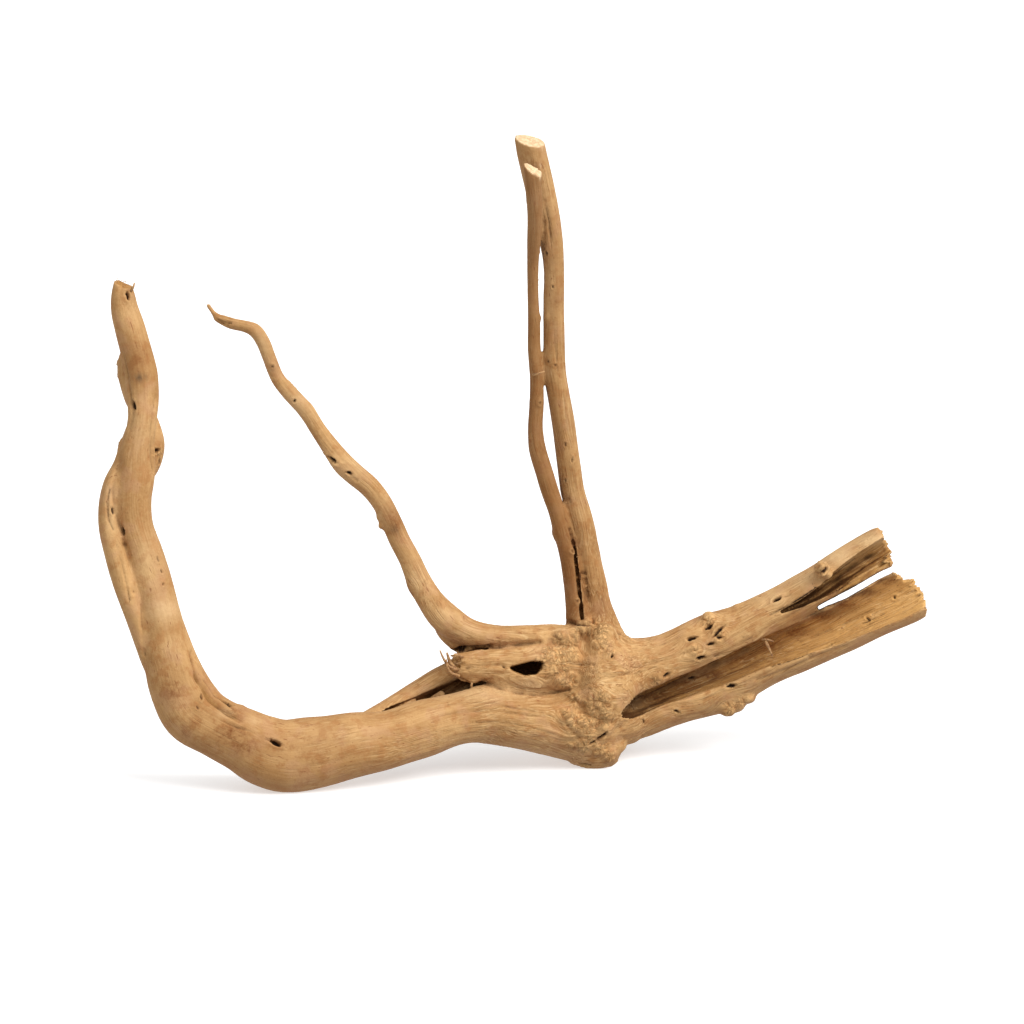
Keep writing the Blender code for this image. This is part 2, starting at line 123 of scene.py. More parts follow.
# The thin branch, from its forked tip down to the burl
BRANCH = (
    (-126.8, 83.4, 5.6, 1.8, 1.7), (-125, 82.8, 5, 2.1, 2),
    (-120.5, 81, 3, 2.5, 2.4), (-115.5, 80, 1, 2.5, 2.5), (-111, 78.5, 0, 3, 2.8),
    (-107.5, 74, 0, 3, 2.8), (-104.5, 66.5, 0, 2.9, 2.8), (-100.5, 57, 1, 3, 2.9),
    (-94.5, 50, 2, 3.4, 3.2), (-88.5, 43.5, 3, 3.4, 3.2), (-83.5, 35.5, 3, 3.4, 3.2),
    (-77.5, 27, 3, 4, 3.6), (-72.5, 20.5, 3, 4.7, 4.4), (-67.5, 16, 4, 4.7, 4.4),
    (-61.5, 11, 5, 4.5, 4.2), (-56, 4, 6, 4.3, 4.2), (-52, -4, 6, 4.4, 4.3),
    (-48.5, -12, 5, 4.5, 4.4), (-44, -20.5, 4, 4.6, 4.5), (-40, -30, 2.5, 5.2, 4.8),
    (-35, -38.5, 1, 5.8, 5.4), (-29, -45.5, -1, 6.5, 6), (-19.5, -51.5, -3, 5.6, 6),
    (-7.5, -54, -3, 5.1, 6.2), (7.5, -54, -1, 5.2, 6.5), (23, -56, 2, 7.3, 8),
)
BRANCH_TIP = (
    (-130.6, 88.9, 8, 1.1, 1.1), (-129.5, 87.2, 7.2, 1, 1.05), (-128.3, 85.5, 6.4, 1.1, 1.15),
    (-126.5, 84, 5.6, 1.4, 1.4),
)
BRANCH_ROOT = (
    (-32.5, -42.5, 4, 3, 4), (-27.5, -50, 4, 5.6, 5.5), (-20, -56.5, 4, 5.4, 6.5),
    (-8.5, -58.5, 5, 5.2, 7),
)
THICK_TWIN = (
    (6.5, 166, 12.7, 6, 5.8), (7.5, 160.5, 13, 6, 5.8), (8.5, 155, 13.5, 6.1, 5.8),
    (10, 148, 14, 6.1, 5.8), (12.5, 136.5, 14.5, 6, 5.6), (15, 125.5, 15, 5.6, 5.2),
    (17, 115.5, 15.5, 4.9, 4.8), (18, 104, 16, 4.4, 4.5), (18, 91, 16, 4.4, 4.5),
    (18, 74, 16.5, 4.5, 4.7), (18.5, 60, 17, 4.7, 4.9), (20.5, 48, 17, 4.7, 5),
    (22.5, 35.5, 17.5, 4.9, 5.2), (24.5, 20, 17.5, 5, 5.3), (26, 9.5, 17.5, 5.1, 5.5),
    (29, -3.5, 17.5, 5.6, 5.8), (31.5, -16.5, 17.5, 5.9, 6), (34, -29, 17, 6.1, 6.2),
    (36.5, -41.5, 15, 6.6, 6.6), (39, -51.5, 12, 8.2, 8), (41.5, -61.5, 9, 10.3, 10),
)
THIN_TWIN = (
    (8.2, 152.5, 0.4, 3.7, 3), (8.8, 147, 1.2, 3.7, 3), (9.3, 138.5, 2.8, 3.6, 3.1),
    (10, 127.5, 5.5, 3.4, 3.1), (9.5, 117, 8.5, 3.1, 3), (9, 107, 12, 2.6, 2.7),
    (9, 94.5, 13.5, 2.4, 2.5), (9.5, 81.5, 14, 2.6, 2.6), (9.5, 69.5, 14, 2.7, 2.7),
    (10.5, 57.5, 14, 2.8, 2.8), (10.5, 46, 13.5, 3.1, 2.9), (10, 35.5, 13, 3.2, 3),
    (11, 26.5, 12.5, 3.6, 3.2), (13.5, 18, 12, 3.7, 3.5), (16, 9.5, 11.5, 3.7, 3.6),
    (19, 1, 11, 3.5, 3.6), (22, -10, 11, 3.7, 3.8), (24.5, -20.5, 11, 3.8, 4),
    (26.5, -31.5, 11, 4, 4.3), (28, -43, 10, 4.7, 5), (30, -55, 8, 6.9, 8),
)
# A broken stub that lies in front of the cleft
STUB = (
    (29, -66.5, -3, 8.6, 6.5), (17, -66.5, -7, 10.1, 6.5), (7.5, -67.5, -9.5, 10.1, 6.3),
    (-2, -67, -11, 8.6, 6), (-9.5, -66, -12, 7.1, 5.6), (-17, -66, -12.5, 6, 5),
    (-21, -66, -13, 5.2, 4.7), (-27.5, -65.3, -13, 4.6, 4.2),
)
SPLINTER = (
    (-16, -72.5, -14, 1.2, 1.6), (-21, -71.5, -14.5, 1.3, 1.5), (-25, -69, -14.5, 1.3, 1.5),
    (-27.5, -65, -14.5, 1.2, 1.3), (-29, -61.5, -14.5, 0.9, 1), (-30.5, -59.5, -14.5, 0.7, 0.8),
)
# The far half of the split trunk, with the floor of the cleft between it and the near half
BACK_LIMB = (
    (-71.5, -96.5, -28, 5.2, 7), (-60, -90.5, -20, 6, 7.5), (-48, -84.5, -9, 6.7, 7.5),
    (-37.5, -78.5, 1, 7.1, 7.5), (-26.5, -72.5, 8, 7.5, 7.5), (-11.5, -66.5, 12, 7.7, 8),
    (5.5, -61.5, 13, 8.2, 9), (25, -59.5, 10, 8.6, 10),
)
CLEFT_FLOOR = (
    (-63, -100, -27, 4.3, 9), (-49, -97, -19, 5.6, 11), (-35.5, -91, -10, 6.2, 12),
    (-21.5, -86, -3, 6.9, 13), (-6, -81.5, 2, 8.2, 14), (10, -79.5, 5, 10.3, 15),
)
# A root stub behind the burl, which the wood also stands on
BACK_ROOT = (
    (38, -76.5, 6, 14.2, 15), (36, -83, 20, 12, 12), (32.5, -87.5, 30, 8.6, 8.5),
    (30.5, -90.5, 38, 6.5, 6.5), (29, -91, 44, 5.6, 5),
)
# The two prongs of the split right end
UPPER_PRONG = (
    (34.5, -69, 4, 17.2, 17), (48.5, -69, 9, 15, 15), (64.5, -64.5, 12.5, 11.6, 12.5),
    (81.5, -57, 15.5, 11.4, 12), (99, -50.5, 18, 10.8, 12), (116, -41.5, 19.5, 9.7, 11.5),
    (132.5, -32, 20, 9.2, 11), (147.5, -22.5, 20.5, 9.2, 10.5), (157.5, -16.5, 21, 9.2, 9.8),
    (162.5, -13.5, 21.3, 8.6, 9),
)
LOWER_PRONG = (
    (33.5, -87.5, 6, 15.5, 17), (55, -87, 9, 9.9, 14), (72, -81.5, 12, 8.8, 13),
    (89.5, -76, 14, 10.1, 13), (106.5, -66.5, 15, 9.7, 13), (124, -58, 15.5, 10.3, 13),
    (141, -50.5, 16, 10.3, 13), (158, -41.5, 16, 11.2, 12.5), (173, -34, 16, 11.6, 11.5),
    (176, -32.3, 16, 11.6, 11.2),
)
# Lumps of the burl, its foot and the root knob behind it: half sizes across, up and deep
LUMPS = (
    (38, -76.5, 2, 17.2, 24.9, 20), (33.5, -96, -2, 14.2, 14.6, 15),
    (35.5, -103.5, -4, 10.8, 8.4, 11), (34.5, -86, 16, 13.8, 12, 14), (30.5, -50.5, 2, 4.7, 3.9, 5),
    (39.5, -52.5, 3, 6, 4.7, 6), (21.5, -54, -3, 4.3, 3.9, 5), (21, -61.5, -5, 4.3, 3.9, 5),
    (20, -69.5, -6.5, 6.6, 6.2, 6.5), (38.5, -57.5, -2, 6.5, 4.3, 6), (27, -79, -8, 7, 6.5, 6),
    (37.5, -82.5, -10, 6.6, 6, 6), (30, -91, -14, 6.5, 6, 6), (38, -93, -13, 6.5, 6, 6),
    (31, -100.5, -13, 5.2, 4.3, 5), (40.5, -103, -9, 5.2, 5.2, 6), (43, -99, -5, 6, 6, 8),
)
# Small knots and stubs that break the outline of the limbs
KNOTS = (
    (84.5, -46, 14, 3, 3, 4), (87.5, -52, 14.5, 2.6, 2.1, 3.5), (92.5, -83.5, 10, 3.8, 3.4, 6),
    (97, -82.5, 10, 3.2, 3.2, 5.5), (101.5, -79.5, 10, 3.4, 3, 6), (133, -24.5, 10.5, 3, 2.6, 4),
    (136.5, -27.5, 9.5, 2.1, 2.1, 3), (97, -41, 17, 2.1, 1.7, 3), (-57, -2, 5, 1.7, 2.1, 2),
    (-56.5, -6, 5, 1.3, 1.7, 2), (-22.5, -44.5, 0, 1.7, 1.3, 2), (-117.5, -85, -42, 3.5, 2.4, 4),
)
# Hollows, cut out of the wood
CLEFT = (
    (-58.5, -88.5, -21, 1.7, 3.5), (-48, -85.5, -19, 3.2, 5.5), (-37, -81.5, -12, 3.9, 7),
    (-26, -77, -6, 4.5, 8), (-13, -72.5, -1, 4.7, 8.5), (1.5, -69, 2, 4.1, 7.5),
    (15.5, -67, 3, 2.6, 5),
)
UPPER_HOLLOW = (
    (117, -42.5, 11, 0.7, 5), (124, -39.5, 12, 1.3, 8), (132, -35, 13, 2.3, 9.5),
    (141, -28.5, 13, 3.6, 10.5), (151, -21.8, 13, 4.4, 11), (160, -16.5, 13, 4.7, 11),
    (173.5, -8, 13, 4.7, 11),
)
UPPER_FACE = (
    (127, -45, 2, 1.6, 5), (136.5, -40, 5, 3.2, 7), (148, -32, 7.5, 5.2, 8.5),
    (160, -24.5, 9, 6.3, 9), (173.5, -17, 9, 6.5, 9),
)
TROUGH = (
    (40, -91, -8, 1.6, 5), (46, -87, -7, 3.4, 8), (54, -83, -4, 4.4, 9.5),
    (66, -77.5, 3, 4.7, 11), (77.5, -73.5, 4, 4.9, 11.5), (89.5, -69, 5, 5.2, 12.5),
    (103, -63, 6, 5.8, 13.5), (118, -57, 7, 6.5, 14), (132.5, -51.5, 7.5, 7.3, 14),
    (147.5, -45.2, 7.5, 8.2, 14), (162.5, -37.6, 7.5, 9.5, 14), (180.5, -28.6, 7.5, 10, 14),
)
# Slits between the twins where they touch
LOW_SLIT = (
    (25.2, -9, 10, 0.5, 4), (26.3, -14, 10, 0.6, 4.5), (28.3, -29, 9, 0.65, 4.5),
    (30, -45, 6.5, 0.8, 4.5),
)
HIGH_SLIT = (
    (13, 143, 5, 0.4, 3), (13.6, 134, 6, 0.5, 3), (13.9, 124, 8, 0.6, 3),
    (13.4, 113, 11, 0.6, 3.5),
)
# The trough reaches up behind the lip of the upper limb
UNDERCUT = (
    (60, -76.5, 6, 2.2, 5), (77.5, -70.5, 9, 2.9, 6), (89.5, -65.3, 10.5, 3.1, 6.3),
    (103, -59.3, 11.5, 3.2, 6.3), (118, -53, 12, 3.1, 6.3), (130, -48, 12, 2.5, 5.5),
)
HOLLOWS = (CLEFT, UPPER_HOLLOW, TROUGH, UNDERCUT, UPPER_FACE, LOW_SLIT, HIGH_SLIT)
# The half-moon knot hole through the stub: its outline, and how far it reaches in depth
KNOT_HOLE = (
    (-2, -67), (1.5, -69), (5.5, -70.5), (10.5, -70), (13.5, -67.5),
    (14.5, -64.5), (12.5, -63.5), (8, -64), (4, -65), (0.5, -66),
)
KNOT_HOLE_DEPTHS = (-30, 0)
# The gap that stays open between the two prongs
PRONG_GAP = (
    (128, -44), (132, -40), (140, -35.5), (149.5, -30.5), (158, -25.5), (164, -23),
    (177.5, -16.5), (177.5, -30), (169, -26.5), (165.5, -25.5), (161.5, -26.5), (153, -32),
    (144.5, -36.5), (136, -40),
)
PRONG_GAP_DEPTHS = (-10, 50)

# Grooves in the skin, darkened with painted shade, and some wide, shallow bands of painted shadow
# under lips: width, depth, how dark each is, and the line that it follows
GROOVES = (
    (1.1, 0.8, 0.35, ((-170, 18), (-171.5, 9.5), (-170.5, 0.5), (-168, -8), (-166.5, -14))),
    (1.0, 0.8, 0.35, ((-166.5, -14), (-164.5, -21), (-164, -28), (-162.5, -34.5))),
    (0.9, 0.8, 0.4, ((-159.5, -40), (-159, -47.5), (-158.5, -56.5), (-158, -61.5))),
    (0.6, 0.6, 0.6, ((-173, 9.5), (-174, 4.5), (-173.5, -3), (-171.5, -7.5))),
    (0.6, 0.5, 0.45, ((-170, -14), (-167.5, -23), (-165.5, -31.5), (-164.5, -38))),
    (0.9, 1.0, 0.4, ((-167.5, 68), (-165.5, 57.5), (-164, 48), (-163, 42), (-164.5, 36))),
    (0.9, 0.9, 0.35, ((-153.5, 49), (-154.5, 40.5), (-155, 33.5), (-155, 24), (-154, 17.5))),
    (1.5, 1.8, 0.4, ((-137.5, -61), (-135.5, -71), (-130, -80.5), (-123.5, -86), (-117, -89))),
    (1.0, 1.6, 0.7, ((23, -47), (28, -48), (34, -48.5), (41, -49), (47, -52.5))),
    (0.8, 1.3, 0.5, ((-24, -71), (-18, -73.5), (-10, -74.5), (-3, -76), (5, -77.5))),
    (0.8, 0.8, 0.4, ((-132, -72.5), (-128, -78.5), (-124, -81.5), (-119.5, -84.5))),
    (0.6, 0.7, 0.5, ((-125.5, -89.5), (-118.5, -92.5), (-111.5, -94.5), (-103, -99))),
    (0.7, 0.5, 0.3, ((-124, -85), (-120.5, -86), (-117, -84.5), (-111, -86))),
    (1.0, 1.6, 0.55, ((-26, -60), (-19, -58), (-7, -58), (2, -57), (12, -56))),
    (0.8, 0.8, 0.45, ((-19.5, -67.5), (-11, -66), (-5.5, -65.5), (-2.5, -67))),
    (0.7, 0.5, 0.3, ((-18, -63), (-10.5, -62.5), (-3, -61), (4.5, -60))),
    (0.8, 1.1, 0.5,
     ((-11, -73.5), (-5, -75), (1.5, -77.5), (9, -78.5), (18.5, -77.5), (24.5, -76.5))),
    (0.7, 0.45, 0.4, ((-27.5, -82.5), (-19, -81.5), (-10, -82), (2.5, -84.5), (15, -86.5))),
    (0.7, 0.4, 0.35, ((-31, -87.5), (-19.5, -85.5), (-4, -86), (9, -87.5), (18.5, -88.5))),
    (0.6, 0.35, 0.35, ((-18, -90.5), (-5, -90.5), (7.5, -92.5), (20.5, -96.5))),
    (0.9, 1.0, 0.5, ((20.5, -86), (23, -90.5), (25.5, -94), (29, -97))),
    (0.9, 1.0, 0.45, ((44.5, -84.5), (43, -90.5), (40.5, -95), (37.5, -97.5))),
    (0.9, 1.1, 0.6, ((25.5, -106.5), (29, -108.5), (33.5, -109))),
    (0.9, 0.7, 0.35, ((43, -62.5), (48.5, -60.5), (57, -59), (67, -55.5))),
    (0.8, 0.7, 0.35, ((27, -73.5), (33.5, -72), (42, -71), (52.5, -69))),
    (0.8, 0.6, 0.3, ((23, -64.5), (29, -65.5), (36, -65.5), (43, -63))),
    (0.9, 1.2, 0.6, ((21.5, 5.5), (23, -1.5), (26.5, -14), (29, -29), (30.5, -43.5))),
    (0.6, 0.6, 0.5, ((14, 134), (16, 124.5), (17, 114.5))),
    (0.5, 0.4, 0.4, ((17.5, 82.5), (19, 69.5), (20, 57))),
    (0.6, 0.6, 0.5, ((-70, 17), (-68.5, 15), (-66.5, 13.5))),
    (0.5, 0.8, 0.6, ((-126.5, 82.6), (-124.5, 81.8), (-121, 81.2))),
    (0.4, 0.6, 0.5, ((-126.5, 81.6), (-124, 80.7), (-122, 80.2))),
    (0.6, 0.5, 0.4, ((55, -67), (66, -63.5), (76.5, -60), (87.5, -57))),
    (0.6, 0.4, 0.35, ((96, -46), (106.5, -41), (119.5, -35.5))),
    (0.7, 0.6, 0.4, ((87.5, -62.5), (98, -57), (109, -51), (119.5, -45), (126.5, -40.5))),
    (0.6, 0.8, 0.5, ((141, -50.8), (152, -47), (162, -42.3), (168, -38.6), (176, -35.2))),
    (0.5, 0.7, 0.45, ((152, -48.7), (160, -45.2), (168, -41), (176, -37.4))),
    (0.5, 0.7, 0.4, ((154.8, -44), (162, -40.3), (166, -37.5), (169.5, -35.2), (175, -33))),
    (0.5, 0.6, 0.35,
     ((128, -54.5), (140, -49.5), (150, -44.5), (158, -40), (165, -35.5), (173, -31))),
    # These five are bands of painted shadow under the lips of the upper limb, over the trough and
    # over its hollow
    (2.6, 0.5, 0.34,
     ((50, -84), (60.5, -79), (78, -70.3), (92, -63.2), (110, -55.4), (122.6, -49.3))),
    (2.2, 0.4, 0.4, ((122.6, -49.3), (133.7, -43.2), (142.8, -39), (152, -33.6), (162, -27.8))),
    (1.0, 0.6, 0.5,
     ((60.5, -78), (78, -69.3), (92, -62.2), (110, -54.4), (122.6, -48), (131, -43.5))),
    (1.9, 0.4, 0.55,
     ((120, -40.6), (129.2, -36.6), (138.3, -30.4), (144.7, -25), (150.2, -20.9), (156.6, -18))),
    (0.6, 0.8, 0.85, ((110.9, -44.3), (122, -38.6), (133.7, -31.3), (141, -25.6), (147.5, -20.4))),
    (0.6, 0.6, 0.4, ((141, -33.5), (150, -28.5), (158, -23.4), (164, -19.5))),
    (0.8, 1.2, 0.6, ((112, -66.5), (126, -61.5), (138, -56.5))),
    (0.7, 0.6, 0.4, ((124, -55.5), (136.5, -50.5), (149, -45.5))),
    (0.9, 0.8, 0.4, ((105.5, -72.5), (120, -67), (132.5, -61.5), (143, -58))),
    (0.6, 0.5, 0.4, ((63.5, -81), (76.5, -76.5), (89.5, -71.5), (102.5, -65.5))),
    (0.6, 0.4, 0.35, ((81, -81), (96, -75.5), (109, -69.5), (119.5, -64.5))),
    (0.6, 0.6, 0.45, ((143.5, -34.5), (152, -29.5), (161, -24.5))),
    (0.6, 0.5, 0.4, ((145.5, -27), (153, -22), (160, -17))),
)
# Insect holes and small knot holes, in the same way, darkened inside with painted shade
HOLES = (
    (0.65, 2.6, 1.0, ((-165.5, 94), (-165, 91.5))),
    (0.8, 2.0, 0.9, ((-163, 47), (-162.5, 44.5))),
    (0.8, 1.5, 0.9, ((-154, 26.5), (-152.5, 26.5))),
    (0.6, 1.2, 0.8, ((-152, 22), (-152, 21))),
    (0.8, 1.2, 0.8, ((-172, 1.5), (-171.5, -0.5))),
    (0.7, 2.0, 1.0, ((-167.5, -7), (-167, -9.5))),
    (0.8, 2.4, 1.0, ((-123.5, -81.5), (-120.5, -83))),
    (1.0, 2.6, 1.0, ((-103, -98.5), (-100, -100))),
    (0.5, 0.5, 0.55, ((-152.5, -19.5), (-152, -21))),
    (0.5, 0.6, 0.6, ((-151, -25), (-150.5, -26))),
    (0.5, 0.6, 0.55, ((-150, -31), (-150, -31.5))),
    (0.6, 0.8, 0.6, ((-133.5, -79), (-133.5, -80.5))),
    (0.5, 0.6, 0.5, ((-135.5, -83.5), (-135, -84.5))),
    (0.8, 1.6, 0.9, ((-78.5, 23.5), (-76, 21.5))),
    (0.6, 1.6, 1.0, ((-70.5, 17), (-69.5, 16.5))),
    (0.5, 0.9, 0.8, ((-93.5, 48), (-93.5, 47.5))),
    (0.5, 0.7, 0.7, ((-103, 63), (-103, 62.5))),
    (0.6, 1.4, 0.9, ((14.5, 111.7), (14.8, 110.8))),
    (0.4, 0.7, 0.7, ((17.5, 97), (17.5, 96.4))),
    (0.35, 0.5, 0.5, ((14, 82), (14, 81.7))),
    (0.4, 0.6, 0.7, ((15.5, 64.8), (15.5, 64.2))),
    (0.4, 0.6, 0.7, ((18.5, 63), (19, 63))),
    (0.35, 0.5, 0.5, ((22.5, 64), (22.5, 63.7))),
    (0.4, 0.6, 0.5, ((12, 47.2), (12, 46.4))),
    (0.35, 0.5, 0.45, ((7.5, 31.2), (7.5, 30.8))),
    (0.5, 0.6, 0.6, ((23, 29.5), (23, 28.5))),
    (0.5, 0.6, 0.6, ((26, 23), (26, 21.5))),
    (0.45, 0.6, 0.6, ((23, 13.8), (23, 13))),
    (0.45, 0.7, 0.55, ((25.5, -16.5), (26, -17.2))),
    (0.45, 0.7, 0.6, ((28, -38), (28, -38.6))),
    (1.6, 4.5, 1.0, ((-24.5, -60.5), (-21.5, -59.5))),
    (0.4, 0.7, 0.6, ((-4, -66.5), (-3, -67.2))),
    (0.6, 1.4, 0.9, ((42.7, -62.2), (43.3, -61.8))),
    (0.7, 2.0, 1.0, ((37, -98), (40.5, -95.5))),
    (0.6, 1.6, 0.9, ((33.5, -99.5), (35.5, -98.7))),
    (1.0, 2.6, 1.0, ((83.5, -50), (85.5, -48.5))),
    (0.8, 2.2, 1.0, ((76, -54.5), (78.5, -54))),
    (0.7, 1.8, 0.95, ((87, -53.5), (88.5, -51.5), (90.5, -49.5))),
    (0.6, 1.5, 0.9, ((88.5, -54), (90, -54))),
    (0.6, 1.8, 0.95, ((84.5, -57), (86.5, -56.5))),
    (0.8, 2.2, 1.0, ((80, -63), (82.5, -62.5))),
    (0.7, 1.8, 0.95, ((65.5, -70.5), (67, -69.5))),
    (0.8, 2.2, 1.0, ((113, -38), (115, -37))),
    (0.7, 1.8, 0.9, ((131, -22), (132, -22))),
    (0.8, 1.8, 0.9, ((133.5, -25.5), (135, -24.5))),
    (0.9, 2.0, 1.0, ((93, -75), (95.5, -74.5))),
    (0.6, 1.5, 0.95, ((114.5, -64.5), (114.5, -66))),
    (0.8, 1.5, 0.9, ((76.5, -72), (78, -71.5))),
    (0.6, 1.2, 0.8, ((70, -85.5), (71.5, -86))),
    (0.6, 1.0, 0.7, ((56.5, -89.5), (57, -90.5))),
    (0.5, 1.2, 0.95, ((164.5, -36.5), (164.5, -37))),
    (0.5, 0.8, 0.7, ((137, -56.5), (137.5, -57))),
    (0.5, 0.8, 0.7, ((152.5, -45.5), (153.5, -46))),
)
# Low round swellings: across, up, width and height
KNOBS = (
    (-153, 26.5, 2.4, 0.7), (-152, 21.5, 1.8, 0.5), (-165, 93, 2.4, 0.5), (-172, 1, 2.2, 0.5),
    (-76, 20, 1.4, 0.5), (-103, 63, 1.5, 0.6), (-93.5, 54, 1.4, 0.6), (-44, -33, 3.2, 0.5),
    (-23, -44.5, 2.4, 0.6), (12, 83.5, 1.6, 0.5), (12, 47, 1.8, 0.5), (25.5, -17, 2.0, 0.7),
    (28, -38.5, 2.0, 0.6), (84.5, -44, 4.2, 1.1), (87.5, -52, 3.0, 0.6), (78.5, -59, 3.4, 0.4),
    (63, -72, 3.0, 0.6), (114, -37.5, 2.6, 0.5), (131.5, -21.5, 2.4, 1.2), (134.5, -25.5, 2.6, 1.2),
    (54.5, -82.5, 2.6, 1.0), (93.5, -85.5, 4.2, 1.2), (98.5, -82, 2.8, 0.8),
)
# Curls of the burl and round the knots: across, up, width and height
ROSETTES = (
    (20, -62, 5.4, 1.1), (19, -69, 5.4, 1.1), (38.5, -51, 4.2, 1.2), (31.5, -50.5, 3.8, 1.0),
    (38, -57.5, 4.2, 0.9), (27, -80, 3.6, 1.0), (37.5, -78.5, 2.8, 0.8), (37.5, -83.5, 3.0, 0.9),
    (28, -90.5, 5.4, 1.2), (35, -88.5, 4.0, 1.1), (40, -90.5, 3.6, 1.0), (31, -100, 3.8, 1.0),
    (38, -101.5, 3.8, 1.0), (42, -105, 3.4, 1.0), (20, -54, 2.4, 0.7), (50, -55, 2.8, 0.7),
    (26, -55, 3.2, 0.8), (33.5, -95, 3.0, 0.7), (84.5, -47.5, 4.0, 0.4), (89, -53, 3.2, 0.35),
    (133, -25, 3.2, 0.6), (61, -72.5, 3.0, 0.4), (93, -84, 4.2, 0.7), (98, -81.5, 3.0, 0.5),
    (79, -59.5, 2.6, 0.3), (-153, 25, 3.4, 0.4),
)
# Where small rosettes wrinkle the burl all over: across, up and how far round
WRINKLED = (
    (20, -62, 7.5), (34, -53, 8), (43, -56, 7), (24, -71, 6), (31, -92, 11), (38, -87, 8),
    (30, -80, 7), (37, -101, 8), (27, -58, 7),
)
SMALL_ROSETTES = 46
# How many marks there are on the sides that the view doesn't show
HIDDEN_GROOVES = 46
HIDDEN_HOLES = 70
HIDDEN_ROSETTES = 16
# Stained, bleached and grey places, some brown and grey ones being painted shade: across, up, half
# the width and height, and strength
BROWN_STAINS_AND_SHADE = (
    (-161, 65.5, 5.5, 8, 0.6), (-152.5, 26, 3.0, 5.0, 0.5), (-166.5, 98, 4.5, 3.5, 0.4),
    (-146, -77, 6, 8, 0.6), (-138.5, -93.5, 6, 6, 0.55), (-135.5, -87.5, 8, 6, 0.4),
    (-120.5, -96, 9, 5.5, 0.95), (-115.5, -101.5, 8, 5, 0.8), (-107.5, -100.5, 8, 5, 0.35),
    (-117, -86.5, 6, 4, 0.45), (-99.5, -91, 5, 2.4, 0.45), (-132, -76.5, 3, 5, 0.4),
    (-151.5, -66, 8, 7, 0.3), (-50.5, -4, 3.6, 8, 0.8), (-48, 3, 2.5, 6, 0.35),
    (-32.5, -55, 5, 2.5, 0.4), (8, 48, 2.4, 12, 0.5), (24, -24, 3, 20, 0.5), (19, 90, 1.6, 4, 0.7),
    (33, -42, 10, 7, 0.5), (39, -106.5, 8, 5, 0.4), (86, -50.5, 3.5, 3.5, 0.3),
    (133.5, -23.5, 3, 3, 0.5), (93.5, -84.5, 5, 3.5, 0.4), (28.5, -30, 3, 20, 0.45),
    # The patch at (33, -42) is painted shade at the twins' bases, where they meet the burl
    (-130, -92, 26, 24, 0.3), (-95, -103, 32, 14, 0.35), (-30, -84, 34, 8, 0.15),
    # From (62, -79.5) on to (161, -29.5) the patches are painted shadow under the upper limb's lip
    # over the trough
    (68, -90, 30, 8, 0.3), (62, -79.5, 7, 3.2, 0.9), (74, -74.5, 7, 3.2, 0.9),
    (86, -69.5, 7, 3.2, 0.9), (98, -63.5, 7, 3.2, 0.9), (110, -57.5, 7, 3.2, 0.9),
    (122, -51.5, 7, 3, 0.9), (133.7, -44.5, 6, 2.8, 0.9), (143, -39.8, 6, 2.6, 0.9),
    (152, -34.8, 6, 2.4, 0.85), (161, -29.5, 6, 2.2, 0.8), (48, -88, 8, 6, 0.7),
    (100, -66.5, 22, 4.5, 0.35), (115, -72, 40, 3, 0.2), (5, -66, 20, 7, 0.15),
)
PALE_PATCHES = (
    (-149, -42, 9, 5.5, 0.8), (-156, -20, 6, 13, 0.4), (-172, 4, 3.5, 14, 0.5),
    (-160, 36, 6, 16, 0.35), (-123.5, -86.5, 4, 2.4, 0.6), (-110.5, -89.5, 4, 2.4, 0.6),
    (-13, -77.5, 24, 3.5, 0.6), (-146, -58, 4, 5, 0.4), (7, -74.5, 9, 2.4, 0.7),
    (112, -37, 9, 4.5, 0.5), (126, -28.5, 9, 4.5, 0.7), (141, -19.5, 9, 4.5, 0.95),
    (155, -12, 8, 4, 0.95), (11, 128, 6, 22, 0.4), (-17, -52, 16, 2.5, 0.3), (66, -58, 16, 6, 0.15),
    (-75, -95, 30, 6, 0.15), (-163, 86, 5, 8, 0.3), (-92, 46, 7, 8, 0.5), (-70, 18, 8, 6, 0.5),
    (-40, -28, 6, 10, 0.4), (-107, 72, 5, 8, 0.5), (-54, 2, 4, 6, 0.3), (-30, -46, 6, 6, 0.4),
    (15, 100, 5, 20, 0.3),
)
GREY_SMUDGES_AND_SHADE = (
    (-160.2, 58, 3.2, 1.1, 0.85), (-168.5, 20.5, 2.2, 3.6, 0.35), (-50.5, -7.5, 2.0, 1.6, 0.5),
    (22.5, -90, 2.8, 2.2, 0.4), (31, -100, 2.4, 2.4, 0.35), (61.5, -73, 3.5, 2.5, 0.35),
    # The patches at (81, -70.5) and (53, -82) are painted shade in the trough under the upper limb
    (81, -70.5, 12, 4, 0.3), (53, -82, 7, 5, 0.7), (149.5, -34.5, 10, 1.6, 0.5),
    (136.5, -43, 12, 2.0, 0.4),
)
# A broken twig and a scrap of bark inside the cleft
TWIG = (
    (-37, -84, -6, 1.8, 2), (-33, -81, -8, 2.2, 2.4), (-30.5, -78.5, -9, 1.5, 1.7),
)
BARK = (
    (-51, -88, -16, 1.4, 2.5), (-46, -84.5, -13, 1.8, 2.5), (-42, -82.5, -10, 1.2, 1.8),
)
